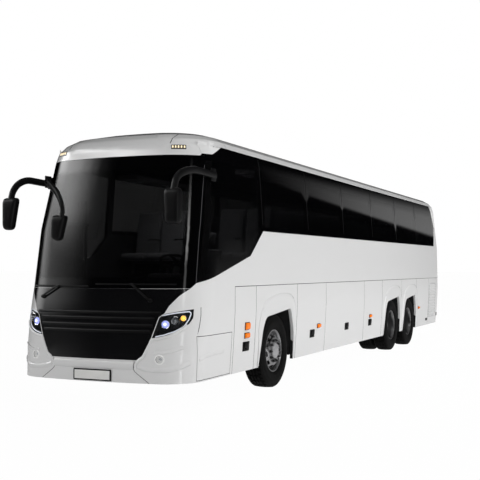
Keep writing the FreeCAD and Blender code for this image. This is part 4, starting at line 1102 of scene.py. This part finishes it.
spot, out, body = fromRear(0.0, height)
grip = evenly([(-0.09, near, height), (-0.08, far, height), (0.08, far, height), (0.09, near, height)], 0.012)
addForms([bar(grip, upward, tube(0.007)), boxOn((0.24, 0.05, 0.006, 0.0025), spot, out, sink=0.001)],
         "engineDoorHandle", "black_plastic", "black_plastic", body)
box = lathe(tail["silencer"], 40)
turnForm(box, math.pi / 2, "Z")
ways = [Vector((x, 0, z)) for x, z in tube(tail["strapRadius"], tail["strapSides"])]
straps = []
for alongY in tail["straps"]:
    middle = Vector((tail["pipe"].x, alongY, tail["pipe"].z))
    straps.append(sweep([middle + way for way in ways], ways, bead(0.018, 0.004), True))
tip = bar(curved(tail["tip"]), leftward, tube(tail["tipRadius"], 18))
addForms([moveForm(box, tail["pipe"]), tip] + straps, "exhaust", "engine_iron", "engine_iron")


# underneath: propeller shaft, air tanks, pipes along the rails, ribs below the bay
def tankForm(place, length, radius, aim):
    half = length / 2
    ends = ((half, 0.0), (half - 0.01, radius * 0.5), (half - 0.04, radius * 0.86), (half - 0.08, radius))
    tank = lathe([(-across, size) for across, size in ends] + list(reversed(ends)), 32)
    turnForm(tank, math.radians(aim), "Z")
    return moveForm(tank, place)


under = {"shaft": (Vector((0, 5.08, 0.74)), Vector((0, 2.80, 0.58))), "shaftRadius": 0.045,
         "joints": ((0.0, 0.075), (0.03, 0.06), (0.97, 0.06), (1.0, 0.078)),
         "tanks": (((0.0, -5.75, 0.79), 0.62, 0.11, 0), ((0.0, -5.42, 0.79), 0.62, 0.11, 0),
                   ((0.72, -5.0, 0.72), 0.60, 0.13, 90), ((0.62, 5.85, 0.66), 0.85, 0.15, 90)),
         "pipes": ((0.350, 0.74), (0.332, 0.70), (-0.350, 0.72)), "pipeRadius": 0.009, "ribs": 8,
         "rib": [(-0.05, -0.002), (-0.03, 0.012), (-0.025, 0.024), (0.025, 0.024), (0.03, 0.012), (0.05, -0.002)]}
head, foot = under["shaft"]
joints = [turnedOn([(-0.02, 0.0), (-0.02, radius), (0.02, radius), (0.02, 0.0)], 28, head.lerp(foot, part), foot - head)
          for part, radius in under["joints"]]
addForms([bar(under["shaft"], leftward, tube(under["shaftRadius"], 28))] + joints, "propellerShaft", "axle_iron",
         "axle_iron")
addForms([tankForm(*tank) for tank in under["tanks"]], "airTanks", "engine_iron", "axle_iron")
pipes = []
for across, height in under["pipes"]:
    for line in ([(across, -6.1, height), (across, -4.9, height), (across * 0.96, -3.85, height + 0.02),
                  (across, -3.2, height)],
                 [(across, 1.75, height), (across, 2.57, height + 0.05), (across, 3.4, height), (across, 5.0, height)]):
        pipes.append(bar(curved(line, 8), upward, tube(under["pipeRadius"], 8)))
addForms(pipes, "chassisPipes", "sealRubber", "underbody")
ribs = []
for alongY in (-2.85 + step * 0.60 for step in range(under["ribs"])):
    line = evenly([(-0.5 if alongY > 0.4 else -1.1, alongY, 0.400), (1.1, alongY, 0.400)], 0.2)
    ribs.append(bar(line, -upward, under["rib"]))
addForms(ribs, "bayRibs", "underbody", "underbody")

# seals between the panes, gutters, and the roof hatches' seals and catches
paneSeal = {"foot": 2.29, "pitch": 0.1, "count": 10, "aside": 0.03}
gutter = {"start": -5.25, "pitch": 0.15, "count": 78, "height": 3.232}
paneSeals, gutters = [], []
for way in (1, -1):
    for edge in border["pillars"]:
        # met on the pane beside the gap
        met = [fromSide(way, edge + paneSeal["aside"], paneSeal["foot"] + paneSeal["pitch"] * step)
               for step in range(paneSeal["count"])]
        paneSeals.append(laid([(spot - rearward * paneSeal["aside"], out, body) for spot, out, body in met],
                              bead(0.010, 0.0015)))
    met = [fromSide(way, gutter["start"] + gutter["pitch"] * step, gutter["height"]) for step in range(gutter["count"])]
    gutters.append(laid(met, bead(0.006, 0.004)))
addForms(paneSeals, "paneSeals", "sealRubber", "tinted_glass")
addForms(gutters, "roofGutters", "body_paint", "body_paint")
hatch = {"top": 3.573, "places": (("front_roof_hatch", -2.6), ("rear_roof_hatch", 3.2))}
seals, catches = {}, {}
for body, alongY in hatch["places"]:
    line = [(x, y, hatch["top"] + 0.0005) for x, y in framed(-0.33, 0.33, alongY - 0.25, alongY + 0.25, 0.06, 4)]
    keep(seals, body, bar(line, upward, bead(0.012, 0.005), True))
    keep(catches, body, boxOn((0.10, 0.05, 0.012, 0.005, 3), (0, alongY + 0.19, hatch["top"]), upward, rearward),
         boxOn((0.44, 0.30, 0.010, 0.004, 3), (0, alongY - 0.03, hatch["top"]), upward, rearward))
addGroups(seals, "Seal", "sealRubber", "black_plastic")
addGroups(catches, "Panels", "body_paint", "body_paint")

# door leaves as (body, start, end, foot, head, handle): rubber round the edge, a pane's rim and a handle
doors = (("front_door_leaf", -5.865, -5.080, 0.41, 2.66, -0.28), ("middle_door_leaf", 0.650, 1.425, 0.41, 2.11, 0.28))
seals, handles, look = {}, {}, sideLook(-1)
for body, start, end, low, high, aside in doors:
    keep(seals, body, trimLine(framed(start, end, low, high, 0.05, 4), look, 0.010, 0.006, True, 0.06))
    keep(seals, body, trimLine(framed(start + 0.08, end - 0.08, low + 0.16, high - 0.08, 0.08, 4), look, 0.005, 0.004,
                               True, 0.06))
    spot, out, _ = look((start + end) / 2 + aside, 1.02)
    keep(handles, body, boxOn((0.075, 0.16, 0.006, 0.003), spot, out, sink=0.001),
         boxOn((0.05, 0.11, 0.016, 0.006, 3), spot, out),
         turnedOn([(0.0, 0.012), (0.012, 0.012), (0.013, 0.0)], 18, spot - upward * 0.10, out))
addGroups(seals, "Seals", "sealRubber", "black_plastic")
addGroups(handles, "Handle", "chrome", "black_plastic")
print("tail, roof, doors and underside fitted")

# seats: cushions swollen as filled covers over the plain seats' places, on legs and shells
seat = {"wide": 0.425, "voxel": 0.020, "cap": 0.016, "pressure": 4.0, "channels": 0.105, "rows": 12, "first": -4.25,
        "pitch": 0.83, "skipped": 6, "deck": 1.485, "moments": 20,
        "cushion": [(0.012, 0.345), (0.012, 0.425), (0.060, 0.440), (0.400, 0.405), (0.400, 0.330)],
        "back": [(0.425, 0.395), (0.520, 1.075), (0.585, 1.075), (0.590, 1.00), (0.515, 0.400)],
        "shell": [(0.592, 0.40), (0.610, 1.06), (0.603, 1.085), (0.586, 1.088), (0.585, 1.078), (0.592, 1.05),
                  (0.580, 0.41)],
        "rest": [(0, 0.50, 0.63), (0, 0.42, 0.645), (0, 0.20, 0.640), (0, 0.12, 0.630)],
        "restLine": [(-0.012, -0.010), (-0.013, 0.004), (-0.006, 0.011), (0.006, 0.011), (0.013, 0.004),
                     (0.012, -0.010)],
        "leg": ((0.13, 0.0), (0.13, 0.05), (0.22, 0.30), (0.40, 0.31))}


def blockForm(outline, half, rounding):
    # an outline of (along, height) drawn out sideways, with round edges
    form = bmesh.new()
    face = form.faces.new([form.verts.new((-half, y, z)) for y, z in outline])
    made = bmesh.ops.extrude_face_region(form, geom=[face])
    bmesh.ops.translate(form, verts=[item for item in made["geom"] if isinstance(item, bmesh.types.BMVert)],
                        vec=(half * 2, 0, 0))
    bmesh.ops.recalc_face_normals(form, faces=form.faces)
    bmesh.ops.bevel(form, geom=form.edges[:], offset=rounding, segments=3, profile=0.5, affect="EDGES", material=-1)
    return form


def evaluated(thing):
    return bpy.data.meshes.new_from_object(thing.evaluated_get(bpy.context.evaluated_depsgraph_get()))


def swollen(form, voxel, cap, channels):
    # fills a closed cover with air: sewn lines stay put, nothing moves further than cap
    cover = bpy.data.objects.new("cover", meshOf(form, "cover"))
    bpy.context.scene.collection.objects.link(cover)
    fine = cover.modifiers.new("fine", "REMESH")
    fine.mode, fine.voxel_size = "VOXEL", voxel
    start = evaluated(cover)
    cover.modifiers.remove(fine)
    cover.data = start
    sewn = cover.vertex_groups.new(name="sewn")
    for corner in start.vertices:
        if channels(corner.co):
            sewn.add([corner.index], 1.0, "REPLACE")
    cloth = cover.modifiers.new("filling", "CLOTH")
    cloth.settings.quality = 4
    cloth.settings.vertex_group_mass = "sewn"
    cloth.settings.use_pressure = True
    cloth.settings.uniform_pressure_force = seat["pressure"]
    cloth.settings.effector_weights.gravity = 0.0
    cloth.point_cache.frame_start, cloth.point_cache.frame_end = 1, seat["moments"]
    for moment in range(seat["moments"]):
        bpy.context.scene.frame_set(moment + 1)
    filled = evaluated(cover)
    for before, after in zip(start.vertices, filled.vertices):
        move = after.co - before.co
        if move.length > cap:
            after.co = before.co + move.normalized() * cap
    bpy.context.scene.frame_set(1)
    cover.data = filled
    made = bmesh.new()
    made.from_mesh(cover.data)
    bpy.data.objects.remove(cover)
    return made


def crosswise(pitch, width):
    return lambda co: abs((co.y + 0.02) % pitch - pitch / 2) < width and co.z > 0.40


def upTheBack(pitch, width):
    return lambda co: abs((co.z + 0.01) % pitch - pitch / 2) < width and co.y < 0.50


half = seat["wide"] / 2
cushion = swollen(blockForm(seat["cushion"], half - 0.014, 0.020), seat["voxel"], seat["cap"],
                  crosswise(seat["channels"], 0.011))
back = swollen(blockForm(seat["back"], half - 0.014, 0.022), seat["voxel"], seat["cap"],
               upTheBack(seat["channels"], 0.011))
spots = []
for row in range(seat["rows"]):
    centres = [0.4875, 0.9225] + ([-0.4875, -0.9225] if row != seat["skipped"] else [])
    spots += [Vector((across, seat["first"] + row * seat["pitch"], seat["deck"])) for across in centres]
pairs = sorted({(math.copysign(0.705, spot.x), spot.y) for spot in spots}) + [(-0.68, 6.0), (0.68, 6.0)]
spots += [Vector(((step - 2) * 0.452, 6.0, seat["deck"])) for step in range(5)]
for form, name in ((cushion, "passengerCushions"), (back, "passengerBacks")):
    pad = addForms([moveForm(form.copy(), spot) for spot in spots], name, "seat_cloth", "seat_cloth", "coach", 60)
    if form is cushion:
        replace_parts(pad, "passenger_seats")
print("passenger cushions filled:", len(spots))

panel = blockForm(seat["shell"], half - 0.010, 0.003)
shells = [moveForm(panel.copy(), spot) for spot in spots]
rests = [bar([Vector(point) + spot + leftward * edge * (half + 0.004) for point in seat["rest"]], upward,
             seat["restLine"]) for spot in spots for edge in (-1, 1)]
frames = []
for across, alongY in pairs:
    place = Vector((across, alongY, seat["deck"]))
    for leg in (-0.30, 0.30):
        frames.append(bar([place + Vector((leg, y, z)) for y, z in seat["leg"]], leftward, tube(0.020, 8)))
        frames.append(bar([place + Vector((leg, 0.08, 0)), place + Vector((leg, 0.38, 0))], upward,
                          bead(0.03, 0.012, 0.0)))
    frames.append(bar([place + Vector((end, 0.24, 0.305)) for end in (-0.40, 0.40)], upward, tube(0.022, 8)))
addForms(shells, "seatShells", "cabin_trim", "cabin_trim", "coach", 40)
addForms(rests, "armRests", "black_plastic", "black_plastic", "coach", 40)
addForms(frames, "seatLegs", "door_gear", "door_gear", "coach", 40)

# the driver's seat: a larger quilted cushion and back, head rest, bellows and base
driver = {"place": Vector((0.62, -5.33, 1.10)), "voxel": 0.011, "middle": Vector((0.62, -5.07)), "folds": 5,
          "bellows": (0.50, 0.74, -5.20, -4.94, 0.05, 3), "foot": 1.02, "fold": 0.075,
          "pleat": ((1, 0.0), (0.868, 0.0374)),
          "cushion": [(0.012, 0.335), (0.012, 0.43), (0.060, 0.445), (0.42, 0.41), (0.42, 0.325)],
          "back": [(0.430, 0.40), (0.500, 0.87), (0.585, 0.87), (0.530, 0.40)],
          "head": [(0.515, 0.905), (0.535, 1.085), (0.595, 1.085), (0.585, 0.905)]}
pads = [swollen(blockForm(driver["cushion"], 0.222, 0.026), driver["voxel"], 0.020, crosswise(0.11, 0.006)),
        swollen(blockForm(driver["back"], 0.215, 0.026), driver["voxel"], 0.020, upTheBack(0.11, 0.006)),
        swollen(blockForm(driver["head"], 0.125, 0.022), driver["voxel"], 0.014, lambda co: False)]
pad = addForms([moveForm(form, driver["place"]) for form in pads], "driverCushions", "seat_cloth", "seat_cloth",
               "coach", 60)
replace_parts(pad, "driver_seat")
bellows, middle = [], driver["middle"]
for step in range(driver["folds"]):
    for share, rise in driver["pleat"]:
        bellows.append([(*(middle + (spot - middle) * share), driver["foot"] + step * driver["fold"] + rise)
                        for spot in framed(*driver["bellows"])])
addForm(ringForm(bellows), "driverBellows", "sealRubber", "black_plastic", "coach", 60)
posts = [bar([(0.62 + edge, -4.80, 1.93), (0.62 + edge, -4.785, 2.03)], leftward, tube(0.006, 8))
         for edge in (-0.05, 0.05)]
addForms([boxOn((0.34, 0.36, 0.045, 0.01), (0.62, -5.06, 0.98), upward, rearward),
          boxOn((0.44, 0.40, 0.035, 0.012), (0.62, -5.10, 1.395), upward, rearward)] + posts, "driverBase",
         "door_gear", "door_gear", "coach", 40)
print("driver's seat filled")

# cab and cabin fittings
smoothSkin("steering_wheel", "grip_plastic", 40)
slope = Vector((0, 1, 0.5))
cab = {"dials": ((0.50, 0.040), (0.62, 0.026), (0.74, 0.040)), "vents": (-0.42, -0.10, 0.36, 0.92),
        "ventFoot": 1.355, "ventY": -5.868, "slats": 4, "slatPitch": 0.02, "rackX": 0.80, "railZ": 3.078,
        "railEnds": (-4.28, 6.48), "braces": 26, "braceStart": -4.25, "bracePitch": 0.42, "unitX": 0.96,
        "unitStart": -3.95, "unitZ": 3.021, "riser": (-0.572, 1.0375, 1.285)}
hood = [(x, -5.925 - z * 0.5, 1.50 + z) for x, z in framed(0.38, 0.86, 0.0, 0.11, 0.06, 4)]
addForms([bar(hood, slope.normalized(), bead(0.018, 0.03, 0.01), True),
          boxOn((0.46, 0.10, 0.014, 0.005), (0.62, -5.952, 1.553), slope)], "dashHood", "cabin_trim", "cabin_trim",
         "coach", 40)
addForms([turnedOn([(0.0, size), (0.006, size), (0.008, size * 0.9), (0.002, size * 0.86), (0.002, 0.0)], 28,
                   (across, -5.939, 1.560), slope) for across, size in cab["dials"]], "dashDials", "chrome",
         "cabin_trim", "coach", 40)
addForm(boxOn((0.24, 0.15, 0.016, 0.006), (0.16, -5.915, 1.545), (0.12, 1, 0.35)), "dashScreen", "smokedTrim",
        "cabin_trim", "coach", 40)
vents = []
for across in cab["vents"]:
    vents += [boxOn((0.13, 0.008, 0.008, 0.003),
                    (across, cab["ventY"], cab["ventFoot"] + row * cab["slatPitch"]), (0, 1, 0.2))
              for row in range(cab["slats"])]
    line = [(x, -5.877, z) for x, z in framed(across - 0.075, across + 0.075, 1.340, 1.430, 0.015, 3)]
    vents.append(bar(line, rearward, bead(0.006, 0.008), True))
addForms(vents, "dashVents", "black_plastic", "cabin_trim", "coach", 40)
rails, units, lights = [], [], []
for way in (1, -1):
    rails.append(bar([(way * cab["rackX"], y, cab["railZ"]) for y in cab["railEnds"]], upward, tube(0.016)))
    for step in range(cab["braces"]):
        alongY = cab["braceStart"] + step * cab["bracePitch"]
        rails.append(bar([(way * cab["rackX"], alongY, 3.09), (way * 0.84, alongY, 3.20), (way * 0.95, alongY, 3.26)],
                         rearward, tube(0.008, 6)))
    for row in range(seat["rows"] + 1):
        place = Vector((way * cab["unitX"], cab["unitStart"] + row * seat["pitch"], cab["unitZ"]))
        units.append(boxOn((0.24, 0.34, 0.022, 0.008, 3), place, -upward, rearward))
        lights += [turnedOn([(-0.002, 0.026), (0.006, 0.025), (0.010, 0.016), (0.012, 0.0)], 16,
                            place + Vector((shift, -0.08, -0.022)), -upward, rearward) for shift in (-0.06, 0.06)]
addForms(rails, "rackRails", "chrome", "cabin_trim", "coach", 40)
addForms(units, "serviceUnits", "cabin_trim", "cabin_trim", "coach", 40)
addForms(lights, "readingLights", "clearLens", "cabin_trim", "coach", 40)
addForm(boxOn((0.80, 0.30, 0.012, 0.004), cab["riser"], -leftward), "stairRiser", "cabin_floor", "cabin_floor")
print("cabin fitted")

studio = {"floorHalf": 400.0, "tentRadius": 380.0, "floorWhite": 0.985, "worldSoft": 0.31,
          "lights": (("overheadSoft", (8, 4, 12), (0.8, 2.5, 3), 12, 4, 620),
                     ("sideSoft", (17, 2.5, 7), (0, 2.0, 1.8), 30, 6, 2320),
                     ("frontSoft", (-5, -20, 3), (0, -5, 1.2), 12, 5, 560),
                     ("cabinSoft", (0.3, -4.9, 2.85), (0.3, -4.4, 1.6), 1.4, 1.0, 26)),
          "camera": (6.058, -15.69, 1.694), "pitch": 0.0318, "turn": 0.4268, "lens": 66.96, "sensor": 36.0}


def stageObject(form, name, material):
    thing = bpy.data.objects.new(name, meshOf(form, name))
    bpy.context.scene.collection.objects.link(thing)
    thing.data.materials.append(material)
    return thing


def mixShaders(tree, factor, first, second):
    blend = tree.nodes.new("ShaderNodeMixShader")
    for index, output in enumerate((factor, first, second)):
        tree.links.new(output, blend.inputs[index])
    return blend.outputs[0]


def seenRay(tree):
    # 1 for rays that show the background: seen directly, in gloss or through glass
    path = tree.nodes.new("ShaderNodeLightPath")
    total = path.outputs["Is Camera Ray"]
    for word in ("Is Glossy Ray", "Is Transmission Ray"):
        made = tree.nodes.new("ShaderNodeMath")
        made.operation = "MAXIMUM"
        tree.links.new(total, made.inputs[0])
        tree.links.new(path.outputs[word], made.inputs[1])
        total = made.outputs[0]
    return total


def floorFinish():
    # pale floor: mostly its own white where it is looked at, the rest lit, so that shadows still fall on it
    floor = Finish("paleFloor", roughness=0.9, specular=0.0)
    floor.feed(colour=floor.node("ShaderNodeMix", 2, {"data_type": "RGBA"}, _0=floor.noise(0.4, 2.0),
                                 _6=(0.78, 0.78, 0.78, 1), _7=(0.81, 0.81, 0.81, 1)))
    tree = floor.tree
    white, facing, clear = [tree.nodes.new("ShaderNode" + word) for word in
                            ("Emission", "NewGeometry", "BsdfTransparent")]
    part = Wire(floor, seenRay(tree)) * studio["floorWhite"]
    blend = mixShaders(tree, part.socket, floor.shader.outputs[0], white.outputs[0])
    # open from below, so that the underside can be looked at
    opened = mixShaders(tree, facing.outputs["Backfacing"], blend, clear.outputs[0])
    tree.links.new(opened, tree.nodes["Material Output"].inputs["Surface"])
    return floor.material


def tentFinish():
    # a light tent that only gloss sees: dark, with a strip for the nose corner and soft side lights
    maker = Finish("tentPattern")
    tree, smooth, size = maker.tree, maker.smooth, maker.size
    x, y, z = [maker.axis(letter) for letter in "XYZ"]
    bearing = maker.sum("ARCTAN2", x, y) * math.degrees(1)      # 0 is astern, 90 the driver's side
    rise = maker.sum("ARCSINE", z / studio["tentRadius"]) * math.degrees(1)
    strip = smooth(size(bearing - 118.5), 4.0, 1.0) * 3.1 * smooth(rise, 33.0, 19.0)
    strip = strip * (smooth(size(rise - 13.0), 2.6, 1.2) * -0.7 + 1.0)
    farSide = smooth(bearing, -146.0, -92.0) * smooth(rise, 2.0, 11.0) * 2.0
    farSide = farSide + smooth(bearing, -138.0, -119.0) * smooth(rise, 15.0, 25.0) * 3.2
    farSide = farSide * smooth(bearing, -76.0, -90.0) * smooth(rise, 35.0, 30.0)
    crest = smooth(rise, 47.0, 40.0)
    brow = smooth(rise, 37.5, 39.5) * crest * 2.6 * smooth(size(bearing), 104.0, 120.0)
    doorBrow = smooth(rise, 33.5, 37.0) * crest * 2.6 * smooth(size(bearing + 128.0), 30.0, 18.0)
    above = rise - (bearing * 0.5 - 2.0)
    glow = smooth(above, 0.0, 0.25) * smooth(above, 6.5, 0.0) * smooth(bearing, 4.0, 10.0)
    glow = glow * smooth(bearing, 22.5, 14.0) * 0.48
    crown = smooth(rise, 50.0, 80.0) * 0.35
    ahead = smooth(size(bearing), 118.0, 150.0)
    skyline = smooth(rise, 4.0, -6.0) * (0.42 - ahead * 0.40)
    emission = tree.nodes.new("ShaderNodeEmission")
    total = strip + farSide + brow + doorBrow + glow + crown + skyline
    tree.links.new(total.socket, emission.inputs["Strength"])
    tree.links.new(emission.outputs[0], tree.nodes["Material Output"].inputs["Surface"])
    return maker.material


form = bmesh.new()
bmesh.ops.create_grid(form, x_segments=1, y_segments=1, size=studio["floorHalf"])
floor = stageObject(form, "studioFloor", floorFinish())
floor.visible_glossy = False

form = bmesh.new()
bmesh.ops.create_icosphere(form, subdivisions=5, radius=studio["tentRadius"])
bmesh.ops.reverse_faces(form, faces=form.faces)
tent = stageObject(form, "studioTent", tentFinish())
for ray in ("camera", "diffuse", "shadow", "transmission", "volume_scatter"):
    setattr(tent, "visible_" + ray, False)

world = bpy.data.worlds.new("studioWorld")
bpy.context.scene.world = world
world.use_nodes = True
tree = world.node_tree
seen, soft = tree.nodes["Background"], tree.nodes.new("ShaderNodeBackground")
for back, strength in ((seen, 1.0), (soft, studio["worldSoft"])):
    back.inputs["Color"].default_value = (1, 1, 1, 1)
    back.inputs["Strength"].default_value = strength
tree.links.new(mixShaders(tree, seenRay(tree), soft.outputs[0], seen.outputs[0]),
               tree.nodes["World Output"].inputs["Surface"])

for name, place, aim, width, height, power in studio["lights"]:
    light = bpy.data.lights.new(name, "AREA")
    light.shape, light.size, light.size_y, light.energy = "RECTANGLE", width, height, power
    lamp = bpy.data.objects.new(name, light)
    bpy.context.scene.collection.objects.link(lamp)
    lamp.location = place
    lamp.rotation_euler = (Vector(aim) - Vector(place)).to_track_quat("-Z", "Y").to_euler()
    lamp.visible_glossy = False

camera = bpy.data.objects.new("studioCamera", bpy.data.cameras.new("studioCamera"))
bpy.context.scene.collection.objects.link(camera)
camera.location = studio["camera"]
camera.rotation_euler = (math.pi / 2 + studio["pitch"], 0, studio["turn"])
camera.data.lens, camera.data.sensor_width = studio["lens"], studio["sensor"]
bpy.context.scene.camera = camera
bpy.context.scene.view_settings.view_transform = "Standard"
print("studio set")
